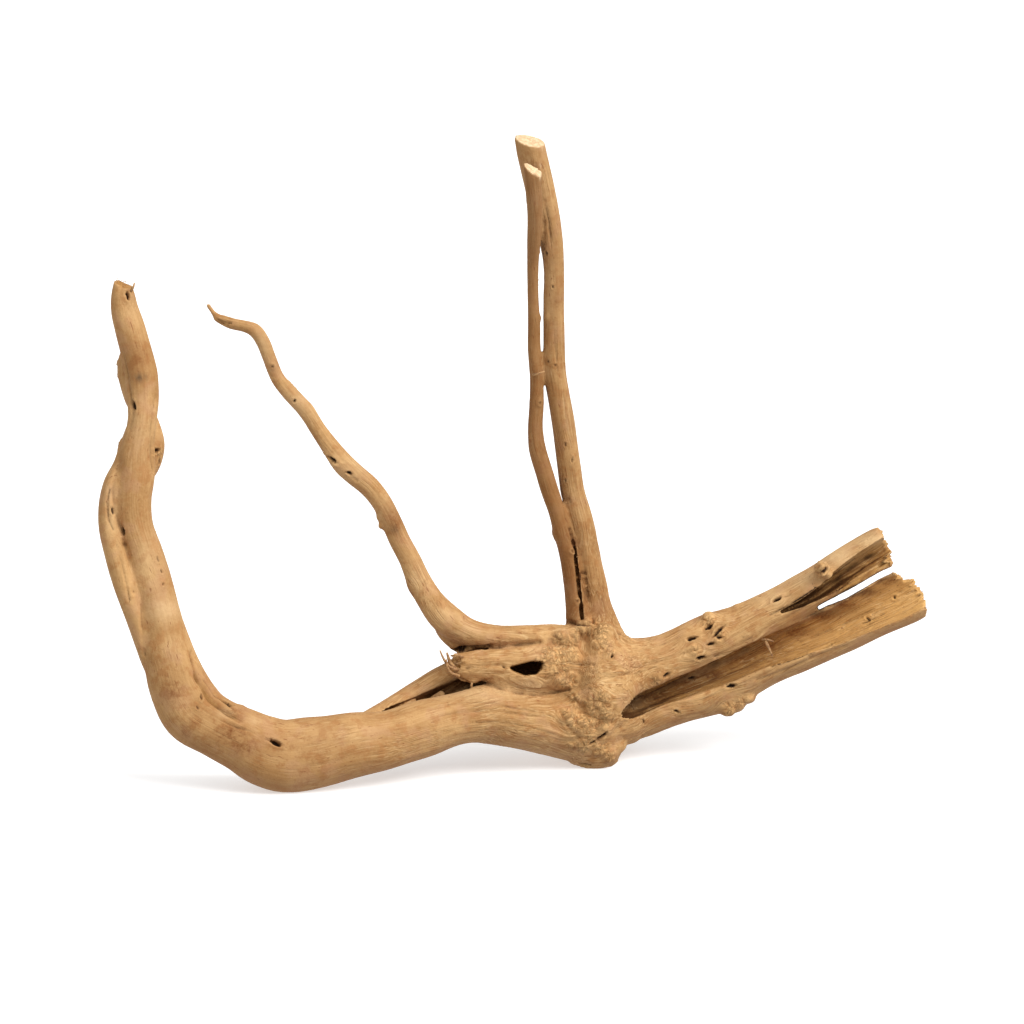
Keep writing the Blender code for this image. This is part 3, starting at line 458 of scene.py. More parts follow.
# Loose slivers that are too thin for the solid, tapered from root to tip
SLIVERS = (
    ((109, -55.5, -2.5, 0.6, 0.5), (110.5, -58.5, -3.5, 0.45, 0.4), (112, -62, -4, 0.2, 0.2)),
    ((107.5, -54.8, -2, 0.35, 0.35), (110, -54.9, -3, 0.3, 0.3), (112.5, -55.6, -3.5, 0.15, 0.15)),
    ((-17, -72.5, -15, 0.5, 0.5), (-17.5, -75, -15.5, 0.35, 0.35), (-17, -77, -15.5, 0.2, 0.2)),
    ((9, 59, 10.5, 0.5, 0.4), (11.5, 59.5, 9.5, 0.35, 0.3), (14, 60.5, 9.5, 0.2, 0.2)),
    ((-21, -70.5, -15, 0.9, 0.9), (-26.5, -65, -16.5, 0.8, 0.7), (-28, -60.5, -17, 0.3, 0.3)),
    ((-163.8, 95, -14, 0.5, 0.4), (-162.7, 97, -14.5, 0.35, 0.3), (-162.3, 98.6, -14.5, 0.2, 0.2)),
    ((-23, -68, -17, 0.5, 0.5), (-27, -66.5, -18, 0.5, 0.4), (-29.5, -63, -18, 0.4, 0.4),
     (-31, -59.5, -18, 0.2, 0.2)),
    ((-22.5, -70.5, -17, 0.6, 0.5), (-26.5, -69, -18, 0.5, 0.4), (-28, -66, -18.5, 0.35, 0.35),
     (-28.3, -63.5, -19, 0.2, 0.2)),
    ((-21, -62.5, -17, 0.5, 0.4), (-24.5, -61.3, -18, 0.35, 0.35), (-26.3, -61.8, -18.5, 0.2, 0.2)),
)
# Rims and creases that are worn smooth, in how many passes: how wide, and where
RIM_PASSES = 40
WORN_RIMS = (
    (4.5, ((51, -95), (65, -88.5), (81, -80), (93, -75), (106, -71))),
    (3.0, ((19, -77), (27, -77), (33, -80), (38, -86), (33, -92))),
    (2.5, ((24, -74), (19, -70), (21, -62))),
    (2.5, ((23, -52), (30, -54), (40, -54), (46, -58))),
)
# The limbs that the grain follows, and how their colour differs: darker below 0, golden above
GRAINED_LIMBS = (
    (STEM, 0), (STRAND, 0), (RIGHT_LOBE, 0), (LEFT_BUMP, 0), (BRANCH, 0), (BRANCH_ROOT, 0),
    (BACK_LIMB, -0.1), (CLEFT_FLOOR, -0.9), (BACK_ROOT[1:], 0), (THICK_TWIN, -0.3),
    (THIN_TWIN, -0.75), (UPPER_PRONG, 0), (LOWER_PRONG, 0.5), (STUB[::-1], 0),
)
# Flat ends of the limbs: the middle, which way it faces (across, up, away), half its length
# and width, and whether it was sawn or is broken
CUT_ENDS = (
    ((8.3, 147.6, 1), (0.85, 1, -0.8), (8, 7), True),
    ((7.8, 159.8, 13), (0.22, 1, -0.55), (9, 9), True),
    ((-24.6, -65.6, -14.5), (-1, 0.25, -0.75), (8, 8), False),
    ((-167, 97.9, -11), (0.45, 1, -0.5), (7, 7), False),
)
# The tools that cut them: how many sides they have, and how far out they reach
CUT_SIDES = 24
CUT_REACH = 14
# Broken ends: where they are, how far round they are ragged, which way their fibres point,
# and how thickly they are frayed
BROKEN_ENDS = (
    ((163.5, -12.5, 19), 11, (0.87, 0.45, 0), 0.1), ((168, -21, 19), 7, (0.85, 0.5, 0), 0.15),
    ((174, -33, 14), 13, (0.87, 0.45, 0), 0.08), ((-24.6, -65.6, -14.5), 6, (-1, 0.15, -0.5), 1),
    ((-166.5, 97.5, -11), 4.5, (0.3, 1, -0.2), 0.4), ((-30.5, -59.5, -14.5), 3, (-0.5, 1, 0), 0.6),
)

# The fibres of a fully frayed end, in metres
FIBRES = {"Fibres to the square metre": 900000.0, "Length": 0.0021, "Thickness": 0.00017}
# They grow on the faces that are frayed by more than this
FRAYED = 0.02

# Relief of the skin in millimetres: height, width across the grain and length along it
FLUTES = (0.45, 7.5, 55)
RIDGES = (0.15, 2.6, 26)
FURROWS = (0.08, 1.3, 15)
# Which way relief and streaks are drawn out
LENGTHWISE = np.array((0.75, 0.1, 0.65))
# Between these places across, the arm's smooth skin turns into the trunk's lined one
ARM_TO_TRUNK = (-115.0, -55.0)
# The burl's middle in the layout, and how far round it the wood is lumpy
BURL_MIDDLE = (33, -78, -8)
BURL_REACH = 27.0
# Rays that ask how open each place of the skin is, and how far they look, in metres
SKY_RAYS = 14
SKY_REACH = 0.045

# Colours of the wood: linear red, green and blue, and opacity
TINTS = {
    "plain": (0.350, 0.175, 0.060, 1),
    "light": (0.59, 0.350, 0.148, 1),
    "blotch": (0.38, 0.170, 0.056, 1),
    "rosy": (0.50, 0.270, 0.150, 1),
    # A rosy painted shade for the faces that point down
    "underside shade": (0.34, 0.165, 0.085, 1),
    "inner brown": (0.27, 0.118, 0.030, 1),
    "inner light": (0.54, 0.285, 0.082, 1),
    "golden": (0.78, 0.450, 0.155, 1),
    "bleached": (0.72, 0.490, 0.255, 1),
    "dark line": (0.20, 0.083, 0.025, 1),
    "light line": (0.72, 0.480, 0.235, 1),
    "dark limb": (0.20, 0.078, 0.022, 1),
    "fleck": (0.19, 0.062, 0.024, 1),
    "speck": (0.30, 0.125, 0.045, 1),
    # Brown stains, and painted shade under the upper limb's lip and at the twins' bases
    "stain_and_shade": (0.185, 0.066, 0.018, 1),
    # Grey smudges, and painted shade in the trough
    "smudge_and_shade": (0.100, 0.058, 0.030, 1),
    # Painted shade in the burl's creases
    "crease": (0.22, 0.085, 0.026, 1),
    # A painted highlight on the burl's raised curls
    "curl": (0.78, 0.460, 0.190, 1),
    # Painted shade in hollows
    "hollow": (0.15, 0.055, 0.016, 1),
    # A warm painted shade in the burl's shallow hollows
    "warm hollow shade": (0.42, 0.165, 0.046, 1),
    "worn edge": (0.76, 0.490, 0.225, 1),
    "shade": (0.095, 0.036, 0.010, 1),
    "heart brown": (0.66, 0.440, 0.250, 1),
    "heart light": (0.79, 0.600, 0.370, 1),
    "heart speck": (0.52, 0.310, 0.160, 1),
    # The near black of painted shade in holes, grooves and the shadow bands under lips
    "hole": (0.022, 0.009, 0.004, 1),
}
# The darkest and the lightest colour of the loose slivers and of the torn fibres
SLIVER_COLOURS = ((0.22, 0.095, 0.032, 1), (0.46, 0.260, 0.105, 1))
FIBRE_COLOURS = ((0.25, 0.110, 0.038, 1), (0.60, 0.380, 0.170, 1))
FLOOR_COLOUR = (0.64, 0.64, 0.64, 1)
FLOOR_SIZE = 25.0
WHITE = (1, 1, 1, 1)


def place(across, up, depth):
    """Points in space of a place in the layout, and how much larger than drawn things are there."""
    ray = VIEW_DISTANCE * AHEAD + np.multiply.outer(across, ACROSS) + np.multiply.outer(up, UPWARD)
    reach = (np.asarray(depth) + VIEW_DISTANCE * AHEAD[1]) / ray[..., 1]
    return EYE + reach[..., None] * ray, reach


def layout_way(way):
    """The direction in space of a way in the layout: across, up and away."""
    return unit(way[0] * ACROSS + way[1] * UPWARD + way[2] * AHEAD)


def unit(vectors):
    """The vectors at a length of one."""
    return vectors / np.maximum(np.linalg.norm(vectors, axis=-1, keepdims=True), 1e-9)


def smooth_rows(rows, step):
    """The rows of a limb, read off a smooth curve through them every few millimetres."""
    rows = np.array(rows, float)
    lengths = np.concatenate([[0], np.linalg.norm(np.diff(rows[:, :3], axis=0), axis=1).cumsum()])
    slopes = np.gradient(rows, lengths, axis=0)
    at = np.linspace(0, lengths[-1], round(lengths[-1] / step) + 1)
    first = np.clip(np.searchsorted(lengths, at, side="right") - 1, 0, len(rows) - 2)
    gap = (lengths[first + 1] - lengths[first])[:, None]
    t = (at - lengths[first])[:, None] / gap
    start = (1 + 2 * t) * (1 - t) ** 2 * rows[first] + t * (1 - t) ** 2 * gap * slopes[first]
    end = t * t * (3 - 2 * t) * rows[first + 1] + t * t * (t - 1) * gap * slopes[first + 1]
    return start + end


def ramp(values, low, high):
    """0 below low, 1 above high, and smooth between; high may be the lower one."""
    t = np.clip((values - low) / (high - low), 0, 1)
    return t * t * (3 - 2 * t)


def wander(spots, seed):
    """Smooth noise from -1 to 1 at rows of three numbers, one cell to the unit."""
    cells = np.floor(spots).astype(np.int64)
    part = spots - cells
    ease = part**3 * (part * (part * 6 - 15) + 10)
    total = np.zeros(len(spots))
    for corner in itertools.product((0, 1), repeat=3):
        key = (cells + corner) @ np.array((73856093, 19349663, 83492791)) + seed * 668265263
        key = (key ^ (key >> 15)) * 2246822519 & 0xFFFFFFFF
        key = (key ^ (key >> 13)) * 3266489917 & 0xFFFFFFFF
        height = ((key ^ (key >> 16)) & 0xFFFF) / 32767.5 - 1
        total += height * np.where(corner, ease, 1 - ease).prod(axis=1)
    return total


class Limb:
    """A limb's centre line, with its half sizes and the directions along and across it."""

    def __init__(self, rows, rounded=False):
        rows = smooth_rows(rows, STATION_STEP)
        self.centres, scale = place(rows[:, 0], rows[:, 1], rows[:, 2])
        self.radii = rows[:, 3:5] * scale[:, None] + WORN_AWAY
        if rounded:
            self.round_ends()
        self.along = unit(np.gradient(self.centres, axis=0))
        self.side = unit(np.cross(unit(self.centres - EYE), self.along))
        self.deep = np.cross(self.along, self.side)
        gaps = np.linalg.norm(np.diff(self.centres, axis=0, prepend=self.centres[:1]), axis=1)
        self.travel = gaps.cumsum()

    def round_ends(self):
        """Adds to both ends the rings that close the limb as half an ellipsoid."""
        for _ in range(2):
            out = unit(self.centres[0] - self.centres[1]) * self.radii[0].mean()
            caps = [self.centres[0] + out * math.sin(angle) for angle in END_RINGS]
            sizes = [self.radii[0] * math.cos(angle) for angle in END_RINGS]
            self.centres = np.concatenate([caps, self.centres])[::-1]
            self.radii = np.concatenate([sizes, self.radii])[::-1]

    def rings(self, seed):
        """Rings of points round the limb, whose section wavers as real wood does."""
        angles = np.arange(SIDES) * 2 * math.pi / SIDES
        rings = []
        for i, centre in enumerate(self.centres):
            ring = []
            for angle in angles:
                spot = (math.cos(angle) + seed, math.sin(angle), self.travel[i] / WAVER_LENGTH)
                grow = 1 + WAVER * noise.noise(spot)
                sideways, away = grow * self.radii[i] * (math.cos(angle), math.sin(angle))
                offset = sideways * self.side[i] + away * self.deep[i]
                ring.append((centre + offset) * MM)
            rings.append(ring)
        return rings

    def near(self, points):
        """How far points lie to the side of the centre line and behind it, how thick the limb
        is there, and how far outside its skin they are, below nothing inside it."""
        nearest = ((self.centres**2).sum(axis=1) - 2 * points @ self.centres.T).argmin(axis=1)
        offset = points - self.centres[nearest]
        sideways = (offset * self.side[nearest]).sum(axis=1)
        away = (offset * self.deep[nearest]).sum(axis=1)
        beyond = (offset * self.along[nearest]).sum(axis=1)
        beyond = np.sign(beyond) * np.maximum(np.abs(beyond) - STATION_STEP / 2, 0)
        radii = self.radii[nearest]
        thin = radii.min(axis=1)
        excess = np.hypot(sideways / radii[:, 0], away / radii[:, 1]) - 1
        outside = np.hypot(np.maximum(excess, 0) * thin, beyond) + np.minimum(excess, 0) * thin
        return sideways, away, thin, outside


def new_object(name, mesh):
    """An object of a bmesh, whose faces are turned outwards."""
    bmesh.ops.recalc_face_normals(mesh, faces=mesh.faces)
    data = bpy.data.meshes.new(name)
    mesh.to_mesh(data)
    mesh.free()
    obj = bpy.data.objects.new(name, data)
    bpy.context.scene.collection.objects.link(obj)
    return obj


def add_tube(mesh, rings):
    """A closed skin over rings of points."""
    rows = [[mesh.verts.new(point) for point in ring] for ring in rings]
    count = len(rows[0])
    for lower, upper in zip(rows, rows[1:]):
        for i in range(count):
            j = (i + 1) % count
            mesh.faces.new((lower[i], lower[j], upper[j], upper[i]))
    mesh.faces.new(rows[0][::-1])
    mesh.faces.new(rows[-1])


def add_lump(mesh, across, up, depth, half_across, half_up, half_deep):
    """A closed ellipsoid that is square to the view."""
    centre, scale = place(across, up, depth)
    turn = Matrix(np.array((ACROSS, UPWARD, AHEAD)).T.tolist())
    size = Matrix.Diagonal((half_across * scale * MM, half_up * scale * MM, half_deep * scale * MM))
    matrix = Matrix.Translation(Vector(centre * MM)) @ (turn @ size).to_4x4()
    bmesh.ops.create_uvsphere(
        mesh, u_segments=LUMP_SEGMENTS, v_segments=LUMP_RINGS, radius=1, matrix=matrix)


def bake(obj):
    """Applies every modifier of the object."""
    graph = bpy.context.evaluated_depsgraph_get()
    mesh = bpy.data.meshes.new_from_object(obj.evaluated_get(graph))
    obj.modifiers.clear()
    obj.data = mesh


def reskin(obj, voxel, softening):
    """One closed skin round whatever overlaps in the object, softened a little."""
    remesh = obj.modifiers.new("One skin", "REMESH")
    remesh.mode = "VOXEL"
    remesh.voxel_size = voxel * MM
    soften = obj.modifiers.new("Worn edges", "SMOOTH")
    soften.iterations = softening
    bake(obj)


def cut_away(obj, rings):
    """Cuts a hollow out of the object."""
    mesh = bmesh.new()
    add_tube(mesh, rings)
    tool = new_object("hollow", mesh)
    cut = obj.modifiers.new("Hollow", "BOOLEAN")
    cut.operation = "DIFFERENCE"
    cut.solver = "MANIFOLD"
    cut.object = tool
    bake(obj)
    bpy.data.objects.remove(tool)


def sight_prism(outline, depths):
    """Rings of an outline carried along the line of sight."""
    across, up = np.array(outline, float).T
    return [place(across, up, np.full(len(across), depth))[0] * MM for depth in depths]


def end_prism(middle, facing, reach):
    """Rings of an oval prism that cuts off whatever lies in front of a flat end."""
    centre, out = place(*middle)[0], layout_way(facing)
    long_way = unit(ACROSS - (ACROSS @ out) * out)
    short_way = np.cross(out, long_way)
    angles = np.linspace(0, 2 * math.pi, CUT_SIDES, endpoint=False)[:, None]
    rim = reach[0] * np.cos(angles) * long_way + reach[1] * np.sin(angles) * short_way
    return [(centre + rim + rise * out) * MM for rise in (0, CUT_REACH)]


def grow_wood():
    """The whole body from its limbs and lumps, with its hollows, before any weathering."""
    mesh = bmesh.new()
    limbs = (
        STEM, STRAND, RIGHT_LOBE, LEFT_BUMP, BRANCH, BRANCH_TIP, BRANCH_ROOT, SPLINTER,
        BACK_LIMB, CLEFT_FLOOR, BACK_ROOT,
    )
    for seed, rows in enumerate(limbs):
        add_tube(mesh, Limb(rows, rounded=True).rings(seed * 7.3))
    cut_limbs = (THICK_TWIN, THIN_TWIN, UPPER_PRONG, LOWER_PRONG, STUB)
    for seed, rows in enumerate(cut_limbs):
        add_tube(mesh, Limb(rows).rings(seed * 5.1 + 60))
    for lump in LUMPS + KNOTS:
        add_lump(mesh, *lump)
    wood = new_object("driftwood_wood", mesh)
    reskin(wood, ROUGH_VOXEL, 6)
    for seed, rows in enumerate(HOLLOWS):
        cut_away(wood, Limb(rows, rounded=True).rings(seed + 91))
    cut_away(wood, sight_prism(KNOT_HOLE, KNOT_HOLE_DEPTHS))
    cut_away(wood, sight_prism(PRONG_GAP, PRONG_GAP_DEPTHS))
    for middle, facing, reach, _ in CUT_ENDS:
        cut_away(wood, end_prism(middle, facing, reach))
    mesh = bmesh.new()
    mesh.from_mesh(wood.data)
    for rows in (TWIG, BARK):
        add_tube(mesh, Limb(rows, rounded=True).rings(3))
    bpy.data.objects.remove(wood)
    wood = new_object("driftwood_wood", mesh)
    reskin(wood, FINE_VOXEL, 2)
    return wood


def soften_along(wood, skin):
    """Rounds off the rims and creases that are worn smooth on the real piece."""
    points, _ = skin_of(wood.data)
    group = wood.vertex_groups.new(name="worn smooth")
    weight = np.zeros(len(points))
    for wide, path in WORN_RIMS:
        mark = skin.seen(path, wide, 0, 0)
        near, offset = mark.around(points, 2)
        weight[near] = np.maximum(weight[near], np.exp(-(offset**2).sum(axis=1) / wide**2))
    for i in np.flatnonzero(weight > 0.02).tolist():
        group.add((i,), weight[i], "REPLACE")
    soften = wood.modifiers.new("Worn rims", "SMOOTH")
    soften.iterations = RIM_PASSES
    soften.vertex_group = group.name
    bake(wood)
    wood.vertex_groups.clear()


def skin_of(mesh):
    """The mesh's points, in millimetres, and their normals."""
    points = np.empty(len(mesh.vertices) * 3)
    mesh.vertices.foreach_get("co", points)
    normals = np.empty(len(mesh.vertices) * 3)
    mesh.vertex_normals.foreach_get("vector", normals)
    return points.reshape(-1, 3) / MM, normals.reshape(-1, 3)


class Mark:
    """A groove, hole or knob: the line it follows on the skin, its width and its depth."""

    def __init__(self, path, out, width, depth, dark):
        self.path, self.out = np.array(path), np.array(out)
        self.width, self.depth, self.dark = width, depth, dark

    def around(self, points, reach):
        """Which points lie round the mark, and their offsets from it along the skin."""
        wide = reach * self.width
        low, high = self.path.min(axis=0) - wide, self.path.max(axis=0) + wide
        near = np.flatnonzero(((points > low) & (points < high)).all(axis=1))
        offset = points[near, None] - self.path
        nearest = (offset**2).sum(axis=2).argmin(axis=1)
        offset = offset[np.arange(len(near)), nearest]
        out = self.out[nearest]
        rise = (offset * out).sum(axis=1)
        kept = np.abs(rise) < 2.5 + self.width
        return near[kept], (offset - rise[:, None] * out)[kept]

    def oval(self, points):
        """Which points lie round the oval that the mark's ends span, and how far out in it."""
        middle, out = self.path.mean(axis=0), unit(self.out.mean(axis=0))
        long_way = self.path[-1] - self.path[0]
        half = np.linalg.norm(long_way) / 2 + self.width
        near = np.flatnonzero((np.abs(points - middle) < 3 * half).all(axis=1))
        offset = points[near] - middle
        rise = offset @ out
        offset -= rise[:, None] * out
        along = offset @ unit(long_way)
        across = np.sqrt(np.maximum((offset**2).sum(axis=1) - along**2, 0))
        kept = np.abs(rise) < 2.5 + self.width
        return near[kept], np.hypot(along / half, across / self.width)[kept]


class Skin:
    """Finds places on the wood's skin."""

    def __init__(self, obj):
        self.tree = BVHTree.FromObject(obj, bpy.context.evaluated_depsgraph_get())

    def cast(self, start, way):
        """Where a ray first meets the skin, and which way the skin faces there."""
        spot, out = self.tree.ray_cast(Vector(start * MM), Vector(way))[:2]
        return None if spot is None else (np.array(spot) / MM, np.array(out))

    def seen(self, corners, width, depth, dark):
        """A mark along a line that is drawn in the view."""
        corners = np.array(corners, float)
        steps = np.linalg.norm(np.diff(corners, axis=0), axis=1)
        lengths = np.concatenate([[0], steps.cumsum()])
        at = np.linspace(0, lengths[-1], max(2, round(lengths[-1] / MARK_STEP)))
        across = np.interp(at, lengths, corners[:, 0])
        up = np.interp(at, lengths, corners[:, 1])
        targets = place(across, up, np.zeros(len(at)))[0]
        hits = [hit for hit in (self.cast(EYE, target - EYE) for target in targets) if hit]
        return Mark(*zip(*hits), width, depth, dark) if hits else None

    def spot(self, across, up, width, depth):
        """A round mark at a place that is drawn in the view."""
        return self.seen(((across, up), (across, up + 0.01)), width, depth, 0)

    def hidden(self, limb, rng, length, width, depth, dark):
        """A mark along a limb on a side that the view doesn't show."""
        count = max(2, round(length / STATION_STEP) + 1)
        first = rng.integers(0, max(1, len(limb.centres) - count))
        angle = rng.uniform(0.15, 0.85) * math.pi
        hits = []
        for i in range(first, min(first + count, len(limb.centres))):
            out = limb.side[i] * math.cos(angle) + limb.deep[i] * math.sin(angle)
            hit = self.cast(limb.centres[i] + out * 2.5 * limb.radii[i].max(), -out)
            if hit and hit[1] @ AHEAD > 0.1:
                hits.append(hit)
        if len(hits) < 2:
            return None
        path, out = (np.array(part) for part in zip(*hits))
        at = np.linspace(0, len(path) - 1, max(2, int(length / MARK_STEP)))
        fine = [np.column_stack([np.interp(at, range(len(a)), a[:, k]) for k in range(3)])
                for a in (path, out)]
        return Mark(fine[0], unit(fine[1]), width, depth, dark)


class Wood:
    """What is known of the wood's grain and marks, to be read off at any points of its skin."""

    def __init__(self, skin):
        self.limbs = [Limb(rows) for rows, _ in GRAINED_LIMBS]
        self.tones = [tone for _, tone in GRAINED_LIMBS]
        self.grooves = [skin.seen(path, *sizes) for *sizes, path in GROOVES]
        self.holes = [skin.seen(path, *sizes) for *sizes, path in HOLES]
        self.knobs = [skin.spot(*knob) for knob in KNOBS]
        self.rosettes = [skin.spot(*rosette) for rosette in ROSETTES]
        self.scatter_marks(skin, np.random.default_rng(5))
        for name in ("grooves", "holes", "knobs", "rosettes"):
            setattr(self, name, [mark for mark in getattr(self, name) if mark])
        tables = {"brown": BROWN_STAINS_AND_SHADE, "grey": GREY_SMUDGES_AND_SHADE, "pale": PALE_PATCHES}
        self.patches = {
            name: [(skin.spot(across, up, 1, 0), *rest) for across, up, *rest in table]
            for name, table in tables.items()
        }
        self.burl = place(*BURL_MIDDLE)[0]

    def scatter_marks(self, skin, rng):
        """Adds marks at random: on the hidden sides of the limbs, and all over the burl."""
        for _ in range(HIDDEN_GROOVES):
            limb = self.limbs[rng.integers(len(self.limbs))]
            length, width = rng.uniform(8, 40), rng.uniform(0.6, 1.1)
            self.grooves.append(skin.hidden(limb, rng, length, width, 0.9 * width, 0.45))
        for _ in range(HIDDEN_HOLES):
            limb = self.limbs[rng.integers(len(self.limbs))]
            width = rng.uniform(0.5, 0.9)
            hole = skin.hidden(limb, rng, rng.uniform(2.6, 4.5), width, 2.4 * width, 0.95)
            self.holes.append(hole)
            if hole and rng.random() < 0.45:
                self.knobs.append(Mark(hole.path[:1], hole.out[:1], 3.2 * width, 0.7, 0))
        for _ in range(SMALL_ROSETTES):
            across, up, reach = WRINKLED[rng.integers(len(WRINKLED))]
            turn, far = rng.uniform(0, 2 * math.pi), reach * math.sqrt(rng.random())
            spot = across + far * math.cos(turn), up + far * math.sin(turn)
            size = rng.uniform(1.8, 3.4)
            self.rosettes.append(skin.spot(*spot, size, 0.28 * size))
        back_root = Limb(BACK_ROOT[1:])
        for _ in range(HIDDEN_ROSETTES):
            width, height = rng.uniform(2.8, 4.8), rng.uniform(0.7, 1.1)
            rosette = skin.hidden(back_root, rng, 2.6, width, height, 0)
            if rosette:
                self.rosettes.append(Mark(rosette.path[:1], rosette.out[:1], width, height, 0))

    def across_grain(self, points):
        """Where points lie across the grain, and how light, how deep inside and how thick the
        limb is there."""
        total = np.zeros((5, len(points)))
        inside = np.full(len(points), 9.0)
        for limb, tone in zip(self.limbs, self.tones):
            low, high = limb.centres.min(axis=0) - 24, limb.centres.max(axis=0) + 24
            near = np.flatnonzero(((points > low) & (points < high)).all(axis=1))
            if len(near) == 0:
                continue
            side, away, thickness, outside = limb.near(points[near])
            share = np.exp(-np.clip(outside, -6, 60) / 1.8) + 1e-20
            ones = np.ones(len(near))
            total[:, near] += share * np.array((side, away, tone * ones, thickness, ones))
            inside[near] = np.minimum(inside[near], outside)
        side, away, tone, thickness = total[:4] / np.maximum(total[4], 1e-30)
        return side, away, tone, inside, thickness

    def read(self, points):
        """Every layer of the skin at some points."""
        sideways, away, tone, outside, thickness = self.across_grain(points)
        near_burl = np.exp(-(np.linalg.norm(points - self.burl, axis=1) / (2.2 * BURL_REACH)) ** 2)
        sideways += (0.9 + 2.2 * near_burl) * wander(points / 21, 11)
        away += (0.9 + 2.2 * near_burl) * wander(points / 21, 12)
        self.flow_round_marks(points, sideways, away)
        count = len(points)
        names = ("shift", "dark", "burl", "brown", "grey", "pale", "number")
        layer = {name: np.zeros(count) for name in names}
        layer["swirl"] = np.zeros((count, 3))
        layer["grain"] = np.column_stack((sideways, away, tone))
        layer["inner"] = ramp(outside, -1.0, -2.2)
        layer["near_burl"] = near_burl
        layer["thick"] = ramp(thickness, 1.0, 7.0)
        self.press_grooves(points, layer)
        self.bore_holes(points, layer)
        for mark in self.knobs:
            near, offset = mark.around(points, 3)
            layer["shift"][near] += mark.depth * np.exp(-(offset**2).sum(axis=1) / mark.width**2)
        self.curl_rosettes(points, layer)
        self.spread_patches(points, layer)
        return layer

    def flow_round_marks(self, points, sideways, away):
        """Bends the grain, so that it runs round the holes, knobs and rosettes."""
        turned = self.holes + self.knobs + self.rosettes
        middles = np.array([mark.path.mean(axis=0) for mark in turned])
        middle_side, middle_away = self.across_grain(middles)[:2]
        for mark, middle, side, deep in zip(turned, middles, middle_side, middle_away):
            size = max(1.1 * mark.width, 1.0)
            near = np.flatnonzero((np.abs(points - middle) < 5 * size).all(axis=1))
            squared = ((points[near] - middle) ** 2).sum(axis=1)
            turn = size**2 / np.maximum(squared, size**2) * np.exp(-squared / (2.6 * size) ** 2)
            sideways[near] -= (sideways[near] - side) * turn
            away[near] -= (away[near] - deep) * turn

    def press_grooves(self, points, layer):
        """Sinks the grooves into the skin and darkens them with painted shade, more in some
        stretches.
        """
        for mark in self.grooves:
            near, offset = mark.around(points, 3)
            squared = (offset**2).sum(axis=1) / mark.width**2
            fade = 0.75 + 0.6 * wander(points[near] / 4.5, 61)
            layer["shift"][near] -= mark.depth * fade * np.exp(-squared)
            dark = mark.dark * fade * np.exp(-1.6 * squared)
            layer["dark"][near] = np.maximum(layer["dark"][near], dark)

    def bore_holes(self, points, layer):
        """Sinks the holes, with ragged outlines and low rims round them, and darkens them inside
        with painted shade.
        """
        for mark in self.holes:
            near, size = mark.oval(points)
            size *= 1 + 0.3 * wander(points[near] / 0.9, 62)
            rim = 0.3 * np.exp(-(((size - 1.55) / 0.4) ** 2))
            layer["shift"][near] += rim - mark.depth * np.exp(-(size**4))
            layer["dark"][near] = np.maximum(layer["dark"][near], mark.dark * np.exp(-(size**4)))

    def curl_rosettes(self, points, layer):
        """Swells the skin in folds round the rosettes, and keeps the nearest one's offset."""
        swell = np.zeros(len(points))
        for number, mark in enumerate(self.rosettes):
            near, offset = mark.around(points, 2.2)
            away_from = np.linalg.norm(offset, axis=1) / mark.width
            weight = np.exp(-(away_from**3))
            rays = unit(offset) * 2.6 + number * 7.7
            fold = 0.6 - 2 * np.abs(wander(rays + 0.5 * away_from[:, None], 21))
            swell[near] = np.maximum(swell[near], weight * (1.25 * mark.depth + 0.35 * fold))
            nearer = weight > layer["burl"][near]
            layer["burl"][near] = np.maximum(layer["burl"][near], weight)
            layer["swirl"][near[nearer]] = offset[nearer]
            layer["number"][near[nearer]] = number % 9
        layer["shift"] += swell

    def spread_patches(self, points, layer):
        """How brown, grey or bleached the points are, where some brown and grey patches are painted
        shade.
        """
        for name, patches in self.patches.items():
            for mark, wide, high, strength in patches:
                if mark is None:
                    continue
                offset = points - mark.path.mean(axis=0)
                squared = (offset @ ACROSS / wide) ** 2 + (offset @ UPWARD / high) ** 2
                squared += (offset @ AHEAD / (1.5 * max(wide, high))) ** 2
                layer[name] = np.maximum(layer[name], strength * np.exp(-squared))


def drawn_out(grain, points, width, length, seed):
    """Smooth noise that is drawn out along the grain."""
    lengthwise = points @ LENGTHWISE / length
    return wander(np.column_stack((grain[:, 0] / width, grain[:, 1] / width, lengthwise)), seed)


def weather(wood, knowledge):
    """Moves the skin in and out by its flutes, ridges, knots, cracks and wrinkles."""
    mesh = wood.data
    points, normals = skin_of(mesh)
    layer = knowledge.read(points)
    grain, shift = layer["grain"], layer["shift"]
    for number, (height, width, length) in enumerate((FLUTES, RIDGES, FURROWS)):
        streak = drawn_out(grain, points, width, length, 31 + number)
        if number:
            streak = 0.6 - 1.6 * np.abs(streak)
            height = height * (1 + 1.6 * layer["near_burl"] + 0.8 * layer["inner"])
            height *= 0.35 + 0.65 * ramp(points[:, 0], *ARM_TO_TRUNK)
        shift += height * layer["thick"] * streak
    lumpy = np.exp(-(np.linalg.norm(points - knowledge.burl, axis=1) / BURL_REACH) ** 2)
    shift += lumpy * 0.8 * wander(points / 6.5, 41)
    crease = np.maximum(0, 1 - 4 * np.abs(wander(points / 2.8, 43)))
    shift -= layer["burl"] * 0.6 * crease
    moved = points + normals * shift[:, None] - torn_back(points, grain)
    mesh.vertices.foreach_set("co", (moved * MM).ravel())
    mesh.update()


